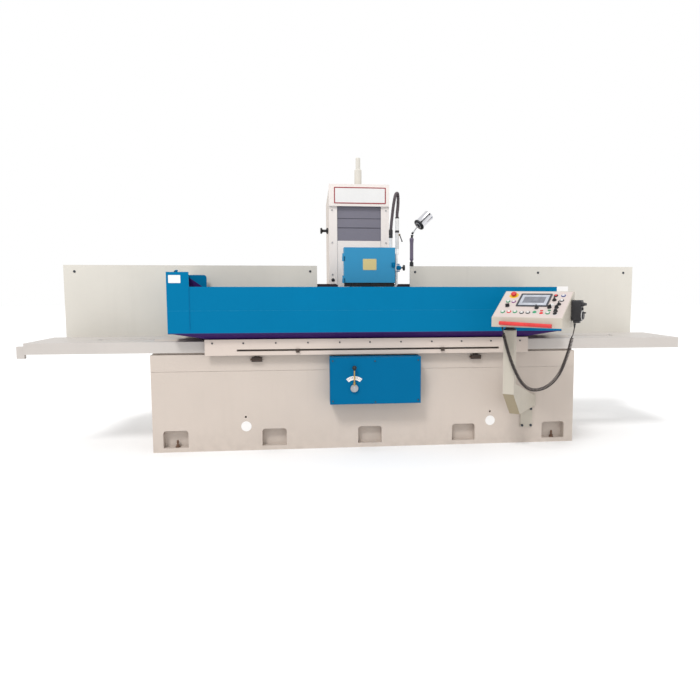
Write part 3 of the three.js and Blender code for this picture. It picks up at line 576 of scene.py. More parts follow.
def round_edges(piece, width, segments=2):
    modifier = piece.modifiers.new("round_edges", "BEVEL")
    modifier.width = width * MM
    modifier.segments = segments
    modifier.limit_method = "ANGLE"
    modifier.angle_limit = SHARP
    modifier.harden_normals = True


# ---------------------------------------------------------------- pendant frame

PENDANT_AT = (783, -738, 984)
PENDANT_TURN = -36.4
PENDANT_TILT = 31.5
IN_PENDANT = Matrix.Translation(PENDANT_AT) @ Matrix.Rotation(math.radians(PENDANT_TURN), 4, "Z")
ON_FACE = IN_PENDANT @ Matrix.Rotation(math.radians(PENDANT_TILT), 4, "X")
FACE_W = 480
FACE_H = 330


# ---------------------------------------------------------------- curly cord

CORD_ROUTE = [
    (505, 214, -37.3), (505, 212, -62), (501, 204, -98), (494, 187, -146), (483, 162, -218),
    (466, 140, -286), (441, 127, -356), (402, 124, -418), (352, 122, -464), (308, 121, -485),
    (268, 120, -493), (232, 120, -488), (196, 119, -466), (164, 118, -428), (130, 118, -368),
    (100, 118, -300), (75, 118, -230), (56, 118, -165), (42, 118, -115), (35.5, 118, -84), (35, 118, -64.6)]
WIRE = 7.0
COIL_R = 9.0
PITCH = 9.6
TURN_STEPS = 14
STRAIGHT_STEP = 4
# Straight at the start and at the end, and the length over which the coil opens out.
LEAD = 82
TAIL = 36
RAMP = 26


def make_curly_cord():
    """A straight lead from the handset, coils round the route, and a straight end into the housing."""
    line, whole = even(smooth_route(CORD_ROUTE, 12), 2.0)
    directions = frames_along(line)
    step = whole / (len(line) - 1)
    points = []
    turn = 0.0
    s = 0.0
    while s < whole:
        k = min(int(s / step), len(line) - 2)
        share = s / step - k
        centre = line[k].lerp(line[k + 1], share)
        side, up = directions[k]
        reach = min(1.0, max(0.0, (s - LEAD) / RAMP), max(0.0, (whole - TAIL - s) / RAMP))
        r = COIL_R * reach * reach * (3 - 2 * reach)
        points.append(centre + r * (side * math.cos(turn) + up * math.sin(turn)))
        if reach > 0:
            turn += math.tau / TURN_STEPS * reach * reach
            s += PITCH / TURN_STEPS
        else:
            s += STRAIGHT_STEP
    points[-1] = line[-1]
    curve = bpy.data.curves.new("handset_cord", "CURVE")
    curve.dimensions = "3D"
    curve.bevel_depth = WIRE / 2 * MM
    curve.bevel_resolution = 2
    curve.use_fill_caps = True
    spline = curve.splines.new("POLY")
    spline.points.add(len(points) - 1)
    placed = [IN_PENDANT @ p * MM for p in points]
    for point, p in zip(spline.points, placed):
        point.co = (*p, 1)
    spline.use_smooth = True
    curve.materials.append(MATERIALS["cord"])
    cord = bpy.data.objects.new("handset_cord", curve)
    bpy.context.scene.collection.objects.link(cord)
    relief = cord_reliefs()
    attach(cord, "pendant")
    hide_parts("curly_cord")


def cord_reliefs():
    """Tapered strain reliefs at both ends of the cord."""
    shape = Shape()
    for at, along, length in ((CORD_ROUTE[0], (-0.03, -0.02, -1), 34), (CORD_ROUTE[-1], (0.02, 0, -1), 26)):
        profile = [(0, 1.5), (8.5, 1.5)]
        for i in range(4):
            h = 4 + i * (length - 6) / 4
            r = 8.0 - i * 0.9
            profile += [(r, h), (r, h + 3), (r - 1.2, h + 3.6), (r - 1.2, h + 5)]
        profile += [(4.6, length), (0, length)]
        shape.turned(profile, at, along, 20)
    return shape.put("cord_reliefs", "pendant", "black_plastic", place=IN_PENDANT)


# ---------------------------------------------------------------- column and cover


def make_sign():
    """Blank sign with a red border on the column's header."""
    low, high = extent("column_front_cover")
    y = low[1]
    x0, x1 = low[0] + 46, high[0] - 31
    z0, z1 = high[2] - 170, high[2] - 27
    w = 9
    outer = rounded(x0, x1, z0, z1, 6)
    inner = rounded(x0 + w, x1 - w, z0 + w, z1 - w, 3)
    Shape().prism(outer, "y", y - 2, y + 0.5).put("sign_plate", "column", "white", "cream", 0.6)
    Shape().frame(outer, inner, "y", y - 3, y - 1.5).put(
        "sign_border", "column", "sign_red", "red_plastic", 0.5)


def make_cover_screws():
    """Screws and the round plug of the column's front cover."""
    low, high = extent("column_front_cover")
    face = high[1] - 6
    screws = Shape().screws((low[0] + 28, high[0] - 28), face, (1864, 1580, 1298), FRONT, 7)
    screws.put("cover_screws", "column", "steel")
    nipple = [(0, -1), (15, -1), (15, 4), (11, 7), (10, 10), (0, 11)]
    Shape().turned(nipple, (low[0] + 32, face, 1250), FRONT, 24).put(
        "way_oil_nipple", "column", "black_plastic")


def make_shutter_lips():
    """Folded lower edge and joint strip of each telescopic shutter plate, painted dark as the shade line
    under each lip.
    """
    for name, node, body, depth, joint in (("upper", "shutter_upper", "column", 0.6, 90),
                                           ("middle", "shutter_middle", "shutter", 2.2, 148)):
        low, high = extent(node)
        y = low[1]
        lips = Shape()
        for z in (low[2], low[2] + joint):
            lips.prism([(y + 0.2, z), (y - depth, z), (y - depth, z + 5), (y + 0.2, z + 7)], "x",
                       low[0] + 1, high[0] - 1)
        # The lips take a dark paint as painted shade: it stands for the shade line under each lip.
        lips.put("shutter_lip_shade_" + name, body, "shutter_shade_edge", "shutter", 0.3)


def make_column_back():
    """Louvres and screws on the column's back, and lifting eyes on its roof."""
    low, high = extent("column")
    y = high[1]
    shape = Shape()
    for i in range(9):
        z = 1420 + i * 42
        outline = [(y - 0.5, z), (y + 14, z), (y + 14, z + 4), (y - 0.5, z + 22)]
        shape.prism(outline, "x", -130, 130)
    shape.put("column_louvres", "column", "cream", bevel=1.2)
    screws = Shape().screws((low[0] + 50, 0, high[0] - 50), y, (low[2] + 82, high[2] - 82), BACK, 8)
    screws.screws((low[0] + 50, high[0] - 50), y, (1480, 1640, 1800), BACK, 8)
    screws.put("column_back_screws", "column", "steel")
    eyes = Shape()
    for x in (-180, 180):
        for ey in (1400, 2150):
            eyes.turned([(0, -1), (20, -1), (20, 8), (12, 14), (0, 14)], (x, ey, high[2]), UP, 20)
            eyes.turned(circle(22, 0, 6, 10), (x, ey, high[2] + 36), BACK, 28, closed=True)
    eyes.put("lifting_eyes", "column", "steel")


# ---------------------------------------------------------------- bellows over the cross ways


def make_bellows():
    """Pleated way covers in place of the two bellows nodes."""
    for side, node in ((-1, "bellows_left"), (1, "bellows_right")):
        low, high = extent(node)
        pleats = 22
        depth = 11
        slope = 12
        rings = []
        for i in range(2 * pleats + 1):
            y = low[1] + (high[1] - low[1]) * i / (2 * pleats)
            inset = depth if i % 2 else 0
            x0, x1 = low[0] + inset, high[0] - inset
            z0, z1 = low[2], high[2] - inset
            outline = [(x0, z0), (x0, z1 - slope), (x0 + slope, z1)]
            outline += [(x1 - slope, z1), (x1, z1 - slope), (x1, z0)]
            rings.append([(x, y, z) for x, z in outline])
        piece = Shape().skin(rings).put("way_bellows_" + ("left" if side < 0 else "right"), None,
                                        "bellows")
        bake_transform(piece)
        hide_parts(node)


# ---------------------------------------------------------------- wheelhead, guard and coolant


STAND_AT = (187, 25)
RISER_AT = (236, 25)
TAP_Z = 1588
KNOB_X = 254.3
HOSE_ROUTE = [
    (187, 25, 1600), (188, 24, 1630), (194, 21, 1700), (202, 16, 1776), (211, 11, 1840), (219, 9, 1880),
    (229, 17, 1899), (239, 31, 1902), (245, 42, 1882), (246, 43, 1848), (243, 37, 1800), (236, 25, 1748),
    (236, 25, 1716)]


def make_door_details():
    """Blank data plate with rivets, and the latch at the door's free edge."""
    low, high = extent("guard_door")
    y = low[1]
    Shape().prism(rounded(-41, 61, 1313, 1396, 4), "y", y - 1.4, y + 0.4).put(
        "door_plate", "guard_door", "yellow", "steel", 0.4)
    Shape().screws((-35, 55), y - 1.4, (1319, 1390), FRONT, 2.6, False).put(
        "door_rivets", "guard_door", "steel")
    x = high[0]
    latch = Shape().prism(rounded(x - 26, x + 3, 1334, 1370, 6), "y", y - 7, y + 0.4)
    latch.tube([Vector((x - 12, y - 6, 1352)), Vector((x - 12, y - 16, 1352)), Vector((x - 10, y - 22, 1346)),
                Vector((x - 8, y - 24, 1330))], 4, 12)
    latch.put("door_latch", "guard_door", "box_blue", "blue", 1.0)


def make_hinge_pins():
    """Heads of the two pins the guard door turns on."""
    shape = Shape()
    for z in (1216, 1380):
        shape.turned([(0, 0), (5.6, 0), (5.6, 1), (4.6, 3), (0, 3)], (-188.5, -118, z + 56.4), UP, 16)
    shape.put("hinge_pin_heads", "wheelhead", "steel")


def make_flap_and_shade():
    """Black rubber flap, cut into strips, that hangs in the mouth of the wheel guard; its black also paints
    the shade under the guard door.
    """
    flap = Shape()
    pieces = 6
    x0, x1 = -181, 199
    step = (x1 - x0) / pieces
    for k in range(pieces):
        start = x0 + k * step
        flap.block(start + 0.4, start + step - 0.4, -98, -95, 1190, 1236)
    flap.put("flap_and_shade", "wheelhead", "black_plastic", bevel=0.8)


def make_hose():
    """Corrugated hose from the standpipe on the guard over to the riser, with sleeves and fittings."""
    x, y = STAND_AT
    foot = extent("wheel_guard")[1][2] + 0.3
    line = even(smooth_route(HOSE_ROUTE, 12), 2.6)[0]
    ribs = [12.7 if i % 2 else 10.4 for i in range(len(line))]
    hose = Shape().tube(line, ribs, 16)
    hose.put("coolant_flex_hose", "wheelhead", "hose", replaces=("coolant_hose",))
    stand = Shape().turned([(0, 0), (12, 0), (12, 84), (0, 84)], (x, y, foot), UP, 28)
    stand.turned([(0, 0), (16, 0), (16, 5), (13, 8), (0, 8)], (x, y, foot), UP, 28)
    stand.put("hose_standpipe", "wheelhead", "white_plastic", "cream", 0.5)
    fitting = [(0, 0), (14, 0), (15, 2), (15, 18), (14, 20), (14, 24), (15.4, 26), (15.4, 58), (13.5, 63),
               (0, 63)]
    Shape().turned(fitting, (x, y, 1563), UP, 28).put("hose_fitting", "wheelhead", "black_plastic")
    x, y = RISER_AT
    sleeve = [(0, 1480), (13.5, 1480), (14, 1482), (14, 1716), (13.4, 1719), (0, 1719)]
    Shape().turned(sleeve, (x, y, 0), UP, 28).put("riser_sleeve", "wheelhead", "white_plastic", "cream", 0.4)
    rings = Shape().ring(13.6, 16, 1604, 1620, (x, y, 0), UP, 28)
    rings.ring(12.9, 15.2, 1712, 1721, (x, y, 0), UP, 28)
    rings.put("riser_rings", "wheelhead", "black_plastic", bevel=0.5)
    pivot = [(0, 12), (8.4, 12), (8.4, 20), (6, 23), (6, 25.5), (0, 25.5)]
    Shape().turned(pivot, (x, y, TAP_Z), RIGHT, 6).put("tap_pivot", "valve_lever", "brass", "steel", 0.6)


def make_valve():
    """Painted body of the coolant tap, and the rim of its knob."""
    x, y, z = 229, -75, 1332
    half = [(21, 6), (19, 16), (15, 20), (15, 28), (13, 30), (0, 30)]
    body = Shape().turned([(r, -h) for r, h in half[::-1]] + half, (x, y, z), UP, 24)
    body.turned([(0, 0), (14, 0), (14, 8), (11, 10), (0, 10)], (x + 14, y, z), RIGHT, 24)
    body.put("valve_body", "wheelhead", "box_blue", "blue", 0.8)
    rim = Shape().turned(circle(19, 0, 3.4, 8), (KNOB_X + 22, y, z), RIGHT, 28, closed=True)
    rim.put("valve_knob_rim", "valve_knob", "black_plastic")


def make_flange_bolts():
    """Bolts of the wheel's flange, and the paper blotter under it."""
    shape = Shape()
    low, high = extent("wheel_flange")
    y = low[1] + 6
    centre = ((low[0] + high[0]) / 2, (low[2] + high[2]) / 2)
    for i in range(6):
        a = math.tau * i / 6
        shape.screw((centre[0] + 66 * math.cos(a), y, centre[1] + 66 * math.sin(a)), FRONT, 6)
    shape.put("flange_bolts", "spindle", "black_plastic")
    low, high = extent("grinding_wheel")
    blotter = Shape().ring(93, 112, -0.9, 0.3, (centre[0], low[1], centre[1]), BACK, 48)
    blotter.put("wheel_blotter", "spindle", "blue_plastic", "black_plastic")


# ---------------------------------------------------------------- lamp


def make_lamp():
    """Spun shade with a rolled rim and a lens, black back flange, and a jointed arm."""
    across = Vector((0.7, 0.28, 0.655)).normalized()
    low, high = extent("lamp_arm")
    y = (low[1] + high[1]) / 2
    centre = Vector((478, y - 4, 1707))
    elbow = Vector((424, y, 1637))
    rim = [(44, 122), (45.6, 125), (45.6, 129), (44, 131), (41.2, 129)]
    shade_piece = Shape().turned([(41.2, 7), (44, 7)] + rim + [(41.2, 12)], centre, across, 48, closed=True)
    shade_piece.put("lamp_shade", "lamp_head", "chrome", replaces=("lamp_head",))
    back = [(0, -9), (14, -9), (34, -8.5), (43, -7), (48, -4), (50, 2), (49, 7), (45, 8.5), (42, 12), (0, 12)]
    cap = Shape().turned(back, centre, across, 40)
    cap.turned([(0, -17), (9, -17), (12, -15), (12, -11), (16, -8.5), (0, -8.5)], centre, across, 24)
    cap.ball(elbow, 10)
    cap.put("lamp_back", "lamp_head", "black_plastic")
    ring = [(20, -10.2), (31, -9.8), (31, -8), (20, -8)]
    Shape().turned(ring, centre, across, 40, closed=True).put("lamp_vent_ring", "lamp_head", "steel")
    lens = Shape().turned([(0, 84), (40, 82), (41, 80), (40, 78), (0, 80)], centre, across, 40)
    lens.put("lamp_lens", "lamp_head", "white_plastic", "chrome")
    # Painted reflection: a black strip along the shade's front stands for the dark streak that the chrome
    # reflects.
    side = across.cross(Vector((0, 1, 0))).normalized()
    outward = across.cross(side).normalized()
    if outward.y > 0:
        outward = -outward
    reflection_line = [centre + across * d + side * 6 + outward * 44 for d in (16, 116)]
    reflection_strip = Shape().tube(even(reflection_line, 10)[0], 4, 12)
    for end in reflection_line:
        reflection_strip.turned([(0, -6), (7, -6), (8, -4), (8, 4), (7, 6), (0, 6)], end, across, 16)
    reflection_strip.put("lamp_painted_reflection", "lamp_head", "black_plastic")
    socket = centre - across * 16
    stem = Shape().tube(even([elbow, socket], 10)[0], 4.5, 16)
    stem.turned([(0, 9), (6.5, 9), (7.5, 11), (7.5, 17), (6.5, 19), (0, 19)], elbow, socket - elbow, 16)
    stem.put("lamp_stem", "lamp_head", "steel")
    make_lamp_arm(y, low[2], elbow)


def make_lamp_arm(y, foot, elbow):
    """Turned sleeve of the arm, with a collar and the black neck under the elbow."""
    x = 417
    profile = [(0, 0), (9, 0), (10, 4), (15, 13), (16, 18), (16, 24), (15, 27), (15, 150),
               (17.6, 178), (18, 184), (17, 190), (14, 196), (0, 196)]
    sleeve = Shape().turned(profile, (x, y, foot), UP, 28)
    sleeve.put("lamp_sleeve", "lamp_arm", "lamp_grey", "hose", replaces=("lamp_arm",))
    top = elbow - Vector((3, 0, 14))
    neck = Shape().tube(even([Vector((x, y, foot + 186)), top], 4)[0], 9.5, 20)
    neck.turned([(0, -7), (11, -7), (12, -4), (12, 0), (0, 0)], top, UP, 20)
    neck.put("lamp_neck", "lamp_arm", "black_plastic")


# ---------------------------------------------------------------- splash guard and trays


def make_guard_details():
    """Blank plate, knob and joint strip of the raised corner, a purple sheet painted as the shadow inside it,
    and the rear wall's screws.
    """
    low, high = extent("guard_corner")
    y = low[1]
    left, top = low[0], high[2]
    Shape().prism(rounded(left + 15, left + 96, top - 76, top - 22, 3), "y", y - 1.2, y + 0.4).put(
        "corner_plate", "table", "white", "cream", 0.4)
    knob = Shape().turned([(0, -1), (7, -1), (7, 3), (10, 5), (10, 11), (6, 14), (0, 14)],
                          (left + 69, y + 12, top), UP, 20)
    knob.put("corner_knob", "table", "box_blue", "blue")
    under, over = extent("guard_upper")
    Shape().block(left + 148, left + 154, y - 1.6, y + 0.4, under[2] - 130, over[2] - 2).put(
        "corner_joint_strip", "table", "box_blue", "blue", 0.6)
    # Painted shadow: a purple sheet behind the corner's front sheet stands for the shade cast inside the
    # corner.
    back = high[1] - 9
    foot = low[2] + 40
    shadow_outline = [(left + 9, foot), (left + 112, foot), (left + 112, foot + 128), (left + 9, top - 28)]
    Shape().prism(shadow_outline, "y", back - 3, back).put("corner_painted_shadow", "table", "pan_paint", bevel=0.6)
    screws = Shape()
    lower, upper = extent("guard_lower")
    for k in range(13):
        x = lower[0] + 60 + k * (upper[0] - lower[0] - 120) / 12
        screws.screw((x, upper[1] + 0.3, lower[2] + 60), BACK, 6)
    screws.put("guard_rear_screws", "table", "steel")


def make_apron_screws():
    low = extent("table_apron")[0]
    shape = Shape()
    for x in (-1125, -909, -682, -454, -227, -8, 219, 447, 670, 892, 1114):
        shape.screw((x, low[1], 790), FRONT, 6)
    shape.put("apron_screws", "table", "motor", "iron")


def make_panel_bolts():
    """Bolts on the front of the rear panels, and stiffening ribs behind them."""
    y = extent("rear_panel_left")[0][1]
    shape = Shape()
    for x, z in ((-436, 1316), (445, 1313), (1523, 1310), (-1523, 1310), (-2300, 1310), (2300, 1310)):
        shape.screw((x, y, z), FRONT, 10, False)
    shape.put("panel_bolts", "bed", "motor", "iron")
    ribs = Shape()
    back = y + 6
    for low, high in (extent("rear_panel_left"), extent("rear_panel_right")):
        for k in range(1, 4):
            x = low[0] + (high[0] - low[0]) * k / 4
            outline = [(x - 30, back - 0.5), (x - 22, back + 14), (x + 22, back + 14), (x + 30, back - 0.5)]
            ribs.prism(outline, "z", low[2] + 12, high[2] - 12)
    ribs.put("panel_ribs", "bed", "panel_cream_lit", "cream", 1.0)


# ---------------------------------------------------------------- bed


def make_blank_discs():
    """Two round plates on the front of the bed, blank."""
    y = extent("bed")[0][1]
    shape = Shape()
    for x in (-906, 911):
        shape.turned([(0, -0.4), (36, -0.4), (37, 0.4), (36, 1.2), (0, 1.2)], (x, y, 178), FRONT, 40)
    shape.put("blank_discs", "bed", "white", "cream")


def make_levelling_bolts():
    """A bolt, nut and pad in the end pockets at the front of the bed and in every pocket at its rear."""
    low, high = extent("bed")
    bolts = Shape()
    places = [(x, low[1] + 32) for x in (-1399, 1407)]
    places += [(x, high[1] - 32) for x in (-1405, -705, -5, 705, 1407)]
    for x, y in places:
        bolts.turned([(0, 0), (18, 0), (18, 4), (14, 7), (0, 7)], (x, y, 31.5), UP, 24)
        bolts.turned([(0, 0), (7, 0), (7, 42), (6, 44), (0, 44)], (x, y, 38), UP, 16)
        bolts.hexagon((x, y, 40), UP, 22, 11)
        bolts.hexagon((x, y, 64), UP, 16, 8)
    bolts.put("levelling_bolts", "bed", "rust", "iron", 0.5)


def make_switch_details():
    """Screws and cable gland of each limit switch."""
    for side, node in (("left", "limit_switch_left"), ("right", "limit_switch_right")):
        low, high = extent(node)
        x = (low[0] + high[0]) / 2
        shape = Shape()
        for dx in (-24, 24):
            shape.screw((x + dx, low[1], low[2] + 15), FRONT, 3.5)
        at = (low[0], (low[1] + high[1]) / 2, low[2] + 15)
        shape.turned([(0, 0), (7, 0), (7, 8), (5, 10), (0, 10)], at, (-1, 0, 0), 16)
        shape.put("switch_screws_" + side, "bed", "rust", "steel")


def make_control_box_details():
    """The box's screws, and the pale scale, hub, rod and ball of the table-speed lever."""
    low, high = extent("control_box")
    y = low[1]
    screws = Shape()
    for x, z in ((20, 660), (23, 364), (low[0] + 20, high[2] - 24), (high[0] - 20, high[2] - 24),
                 (low[0] + 20, low[2] + 24), (high[0] - 20, low[2] + 24)):
        screws.screw((x, y, z), FRONT, 5.5)
    screws.put("box_screws", "bed", "motor", "iron")
    x, z = -129, 468
    outer = arc(x, z, 86, 48, 132, 12)
    inner = arc(x, z, 58, 132, 48, 12)
    Shape().prism(outer + inner, "y", y - 1.6, y + 0.4).put("speed_scale", "bed", "white", "cream", 0.3)
    ticks = Shape()
    for k in range(9):
        a = math.radians(54 + 9 * k)
        place = Matrix.Translation((x, y - 1.8, z)) @ Matrix.Rotation(-a, 4, "Y")
        tick = [place @ Vector(p) for p in ((68, -0.4, -1), (82, -0.4, -1), (82, -0.4, 1), (68, -0.4, 1))]
        ticks.skin([tick, [p + Vector((0, 0.8, 0)) for p in tick]])
    ticks.put("speed_scale_ticks", "bed", "black_plastic")
    front = y - 0.3
    hub = Shape().turned([(0, 0), (29, 0), (29, 13), (27, 17), (20, 18), (18, 21), (8, 21), (7, 24), (0, 24)],
                         (x, front, z), FRONT, 40)
    hub.put("lever_hub", "speed_lever", "steel", replaces=("speed_lever",))
    ends = [Vector((x, front - 14, z + 10)), Vector((x, front - 32, z + 143))]
    rod = Shape().tube(even(ends, 20)[0], 5, 16)
    rod.hexagon((x, front - 17.5, z + 34), (0, -0.13, 1), 17, 9)
    rod.put("lever_rod", "speed_lever", "brass", "steel")
    knob = Shape().ball((x, front - 32, z + 149), 16, 28, 14)
    knob.turned([(0, 0), (6.5, 0), (8, 3), (9, 10), (0, 10)], (x, front - 30.2, z + 130), (0, -0.13, 1), 20)
    knob.put("lever_ball", "speed_lever", "black_plastic")


# ---------------------------------------------------------------- table top


def make_chuck_details():
    """Brass strips between the chuck's poles, its clamping bolts and a terminal cover."""
    low, high = extent("magnetic_chuck")
    strips = Shape()
    count = 62
    for k in range(count):
        x = low[0] + 30 + k * (high[0] - low[0] - 60) / (count - 1)
        strips.block(x - 1.5, x + 1.5, low[1] + 14, high[1] - 14, high[2] - 0.5, high[2] + 0.15)
    strips.put("chuck_pole_strips", "table", "brass", "chuck_steel")
    bolts = Shape()
    for y in (low[1], high[1]):
        for k in range(8):
            x = low[0] + 80 + k * (high[0] - low[0] - 160) / 7
            bolts.screw((x, y, high[2] - 32), (0, -1 if y < 0 else 1, 0), 9)
    bolts.put("chuck_bolts", "table", "motor", "iron")
    Shape().prism(rounded(-70, 70, high[2] - 78, high[2] - 34, 8), "x", high[0] - 0.5, high[0] + 14).put(
        "chuck_terminal_cover", "table", "motor", bevel=1.5)


# ---------------------------------------------------------------- pendant


def make_pendant_face():
    """Face plate, screen bezel and screen on the sloping panel."""
    Shape().prism(rounded(6, FACE_W - 6, 6, FACE_H - 6, 5), "z", -0.4, 0.9).put(
        "face_plate", "pendant", "grey_face", "cream", 0.4, ON_FACE)
    Shape().frame(rounded(127, 345, 135, 292, 6), rounded(139, 333, 147, 280, 3), "z", 0.5, 7).put(
        "screen_bezel", "pendant", "motor", "motor", 1.2, ON_FACE)
    Shape().frame(rounded(139.4, 332.6, 147.4, 279.6, 3), rounded(160, 311, 178, 254, 2), "z", 0.5, 4.2).put(
        "screen_surround", "pendant", "screen_rim", "cream", 0.6, ON_FACE)
    Shape().prism(rounded(159.6, 311.4, 177.6, 254.4, 2), "z", 0.4, 3.0).put(
        "screen", "pendant", "screen", "black_plastic", 0, ON_FACE)


# Push buttons that the CAD part leaves out: place on the face, colour of the ring and of the cap.
# The dark 'motor' rings are partly painted shade: their dark grey also stands for the shadow crescent under
# each white cap.
PUSH_BUTTONS = [
    (58, 66, "green", "white"), (101, 68, "red", "white"), (143, 69, "green", "white"),
    (192, 60, "motor", "white"), (234, 62, "motor", "white"), (368, 61, "green", "white"),
    (56, 195, "green", "white"),
    (97, 193, "purple", "white"), (421, 273, "blue", "white"), (424, 213, "motor", "white"),
    (371, 157, "white", "white"), (370, 272, "black", "red")]
SELECTORS = [(69, 137, -70), (373, 217, 0), (278, 119, 20), (362, 126, -35), (410, 126, -30), (416, 165, 10),
             (414, 82, -25)]
# Narrow pilot lamps under two of the selectors.
PILOTS = [(321, 86, 20, "red_plastic"), (371, 92, 20, "green_plastic")]


def make_push_buttons():
    """Each button is a ring and a cap; buttons of one colour share a piece."""
    for kind, column in (("rings", 2), ("caps", 3)):
        for colour in sorted({button[column] for button in PUSH_BUTTONS}):
            shape = Shape()
            for button in PUSH_BUTTONS:
                if button[column] != colour:
                    continue
                at = (button[0], button[1], 0)
                if kind == "rings":
                    shape.turned([(10.2, 0.4), (15, 0.4), (15, 4), (13.8, 5.4), (10.2, 5.4)], at, UP, 28,
                                 closed=True)
                else:
                    shape.turned([(0, 0.4), (9.8, 0.4), (9.8, 7), (8.4, 8.4), (0, 9)], at, UP, 24)
            material = colour if colour == "motor" else colour + "_plastic"
            slot = material if material in SLOTS else "cream"
            shape.put("button_" + kind + "_" + colour, "pendant", material, slot, 0, ON_FACE)
    for u, v, length, material in PILOTS:
        shape = Shape().prism(rounded(u - length / 2, u + length / 2, v - 5, v + 5, 4), "z", 0.4, 5)
        shape.put("pilot_lamp_" + material.split("_")[0], "pendant", material, material, 0.8, ON_FACE)


def make_selectors():
    """Rotary selectors with a handle bar, pale collars, and the ring of the emergency stop."""
    shape = Shape()
    for u, v, turn in SELECTORS:
        shape.turned([(0, 0.4), (15, 0.4), (15, 4), (12.5, 7), (12, 9), (0, 9)], (u, v, 0), UP, 28)
        c, s = math.cos(math.radians(turn)), math.sin(math.radians(turn))
        outline = [(u + a * c - b * s, v + a * s + b * c) for a, b in rounded(-4.5, 4.5, -13, 15, 3, 3)]
        shape.prism(outline, "z", 8, 21)
    shape.put("rotary_selectors", "pendant", "black_plastic", "black_plastic", 0.8, ON_FACE)
    rings = Shape()
    for u, v in ((418, 51), (279, 64), (327, 53)):
        rings.turned([(13.8, 0.4), (17, 0.4), (17, 3.6), (15.6, 5), (13.8, 5)], (u, v, 0), UP, 28, True)
    rings.put("control_collars", "pendant", "white_plastic", "cream", 0, ON_FACE)
    Shape().ring(11.8, 33, 0.4, 1.6, (76, 272, 0), UP, 40).put(
        "estop_ring", "pendant", "yellow_plastic", "red_plastic", 0, ON_FACE)


def make_handset():
    """Handset's casing, knobs and clip, and the ring round its dial."""
    x0, x1, y0, y1, z0, z1 = 483.5, 548, 200, 265, -22, 116
    body = Shape().prism(rounded(y0, y1, z0, z1, 12, 5), "x", x0, x1)
    body.prism(rounded(y0 + 2, y0 + 40, z0 - 14, z0 + 2, 6), "x", x0 + 12, x1 - 10)
    body.put("handset_case", "pendant", "black_plastic", "black_plastic", 3, IN_PENDANT, ("handwheel_unit",))
    yc = (y0 + y1) / 2
    knobs = Shape()
    profile = [(0, 0), (13, 0), (13, 8), (10, 11), (9, 22), (7.5, 24), (0, 24)]
    for y in (yc - 16, yc + 18):
        knobs.turned(profile, (x1 - 0.5, y, 88), RIGHT, 12)
    knobs.turned([(0, 0), (8, 0), (8, 8), (0, 9)], (x1 - 0.5, yc, 58), RIGHT, 20)
    knobs.put("handset_knobs", "pendant", "black_plastic", "black_plastic", 0.6, IN_PENDANT)
    ring = Shape().turned([(27.6, 0), (33, 0), (33, 2.5), (27.6, 3.5)], (x1 - 0.3, yc, 14), RIGHT, 48, True)
    ring.put("dial_scale_ring", "pendant", "white_plastic", "cream", 0, IN_PENDANT)
    clip = Shape().block(480.4, 484.5, y0 + 7, y1 - 7, 10, 92)
    clip.put("handset_clip", "pendant", "steel", "steel", 1.5, IN_PENDANT)


def make_pendant_extras():
    """Khaki sheet painted as the shade on the leg's sloping underside, blank card behind the panel's top, and
    the foot's bolts.
    """
    # Painted shade: a khaki sheet on the leg's sloping front stands for the shade on that downward-facing
    # face.
    outline = ((158.4, 438.4), (305.2, 276.4), (304.6, 275.4), (157.6, 437.6))
    sheet = Shape().skin([[(u, d, z - PENDANT_AT[2]) for d, z in outline] for u in (31.6, 108.4)])
    sheet.put("leg_front_shade_sheet", "bed", "leg_shade_khaki", "cream", 0, IN_PENDANT)
    card = Shape().prism(rounded(360, 436, 150, 206, 3), "y", 285, 287)
    card.put("card_holder", "pendant", "white", "cream", 0.4, IN_PENDANT)
    bolts = Shape()
    y = extent("bed")[0][1] - 12
    for x in (1158, 1226):
        for z in (136, 262):
            bolts.hexagon((x, y + 0.5, z), FRONT, 18, 9)
    bolts.put("post_foot_bolts", "bed", "motor", "iron", 0.6)


# ---------------------------------------------------------------- rear of the machine


def make_cross_bed_details():
    """Ground way strips, and the rear covers with their screws."""
    high = extent("cross_bed")[1]
    front = extent("column_saddle")[1][1] + 2
    ways = Shape()
    for inner in (-404, 222):
        ways.block(inner, inner + 182, front, high[1] - 12, high[2] - 0.4, high[2] + 0.25)
    ways.put("cross_way_faces", "bed", "iron")
    y = high[1]
    plate = Shape()
    for x0, x1 in ((-400, -110), (110, 400)):
        plate.prism(rounded(x0, x1, 160, 820, 12), "y", y - 0.4, y + 5)
    plate.put("cross_bed_covers", "bed", "cream", bevel=1.2)
    Shape().screws((-385, -125, 125, 385), y + 5, (180, 490, 800), BACK, 7).put(
        "cross_bed_cover_screws", "bed", "steel")


def make_feed_motor_details():
    """Cooling fins and plug of the cross feed motor."""
    low, high = extent("cross_feed_motor")
    x = (low[0] + high[0]) / 2
    z = (low[2] + high[2]) / 2
    outer, inner = (rounded(x - half, x + half, z - half, z + half, 10) for half in (68, 60))
    fins = Shape()
    for k in range(9):
        y = low[1] + 36 + k * 14
        fins.frame(outer, inner, "y", y, y + 5)
    fins.put("feed_motor_fins", "bed", "motor", bevel=0.5)
    plug = [(0, 0), (15, 0), (15, 16), (11, 20), (11, 36), (8, 40), (0, 40)]
    Shape().turned(plug, (x, high[1] - 40, high[2] - 30), UP, 20).put(
        "feed_motor_plug", "bed", "black_plastic")


# ---------------------------------------------------------------- carried-over CAD nodes

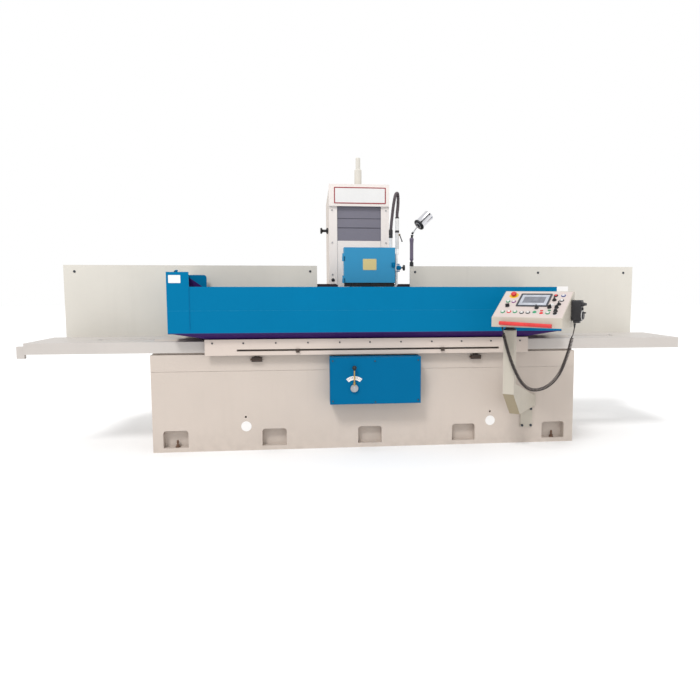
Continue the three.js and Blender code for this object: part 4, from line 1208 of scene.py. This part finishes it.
# Nodes that take another material than their slot's.
FINISHES = {
    # The column cover and head plate take a cream lightened as painted light against the shade round the
    # column.
    "cover_cream_lit": ("column_front_cover", "head_plate"),
    "switch_brown": ("dog_left", "dog_right", "limit_switch_left", "limit_switch_right"),
    # The rear panels take a cream lightened as painted light against the shade near the middle.
    "panel_cream_lit": ("rear_panel_left", "rear_panel_right", "screw_cover"),
    "box_blue": ("control_box",),
    "tray_cream": ("tray_left", "tray_right"),
    "apron_cream": ("table_apron",),
    "housing_grey": ("pendant_housing", "pendant_post"),
    "white": ("coolant_pipe",),
    "black_plastic": ("lamp_base",),
    "steel": ("wheel_flange",),
}
FINISH = {node: finish for finish, group in FINISHES.items() for node in group}
# Width of the rounded edges, in millimetres.
ROUND = {
    "bed": 4, "cross_bed": 4, "column": 5, "column_saddle": 3, "column_front_cover": 2.5, "tray_left": 2.5,
    "tray_right": 2.5, "table_apron": 1.5, "guard_lower": 1.5, "guard_upper": 2, "guard_corner": 2,
    "guard_rear": 1.5, "control_box": 3, "pendant_post": 3, "guard_door": 3, "wheel_guard": 2,
    "magnetic_chuck": 1.5, "table": 2, "rear_panel_left": 1.5, "rear_panel_right": 1.5, "head_plate": 1,
}


def dress_nodes():
    """Gives every CAD node that still shows the material of its slot."""
    slots = {p["node"]: p["material_slot"] for p in frame["record"]["subparts"]}
    for name, node in nodes.items():
        material = MATERIALS[FINISH.get(name, slots[name])]
        node.data.materials.clear()
        node.data.materials.append(material)
        if name in ROUND:
            round_edges(node, ROUND[name])


MATERIALS = make_materials()
SLOTS = {m["slot"] for m in frame["record"]["materials"]}

make_camera()
make_curly_cord()
make_floor()
make_lights()
dress_nodes()
make_sign()
make_cover_screws()
make_shutter_lips()
make_column_back()
make_bellows()
make_door_details()
make_hinge_pins()
make_flap_and_shade()
make_hose()
make_valve()
make_flange_bolts()
make_lamp()
make_guard_details()
make_apron_screws()
make_panel_bolts()
make_blank_discs()
make_levelling_bolts()
make_switch_details()
make_control_box_details()
make_chuck_details()
make_pendant_face()
make_push_buttons()
make_selectors()
make_handset()
make_pendant_extras()
make_cross_bed_details()
make_feed_motor_details()
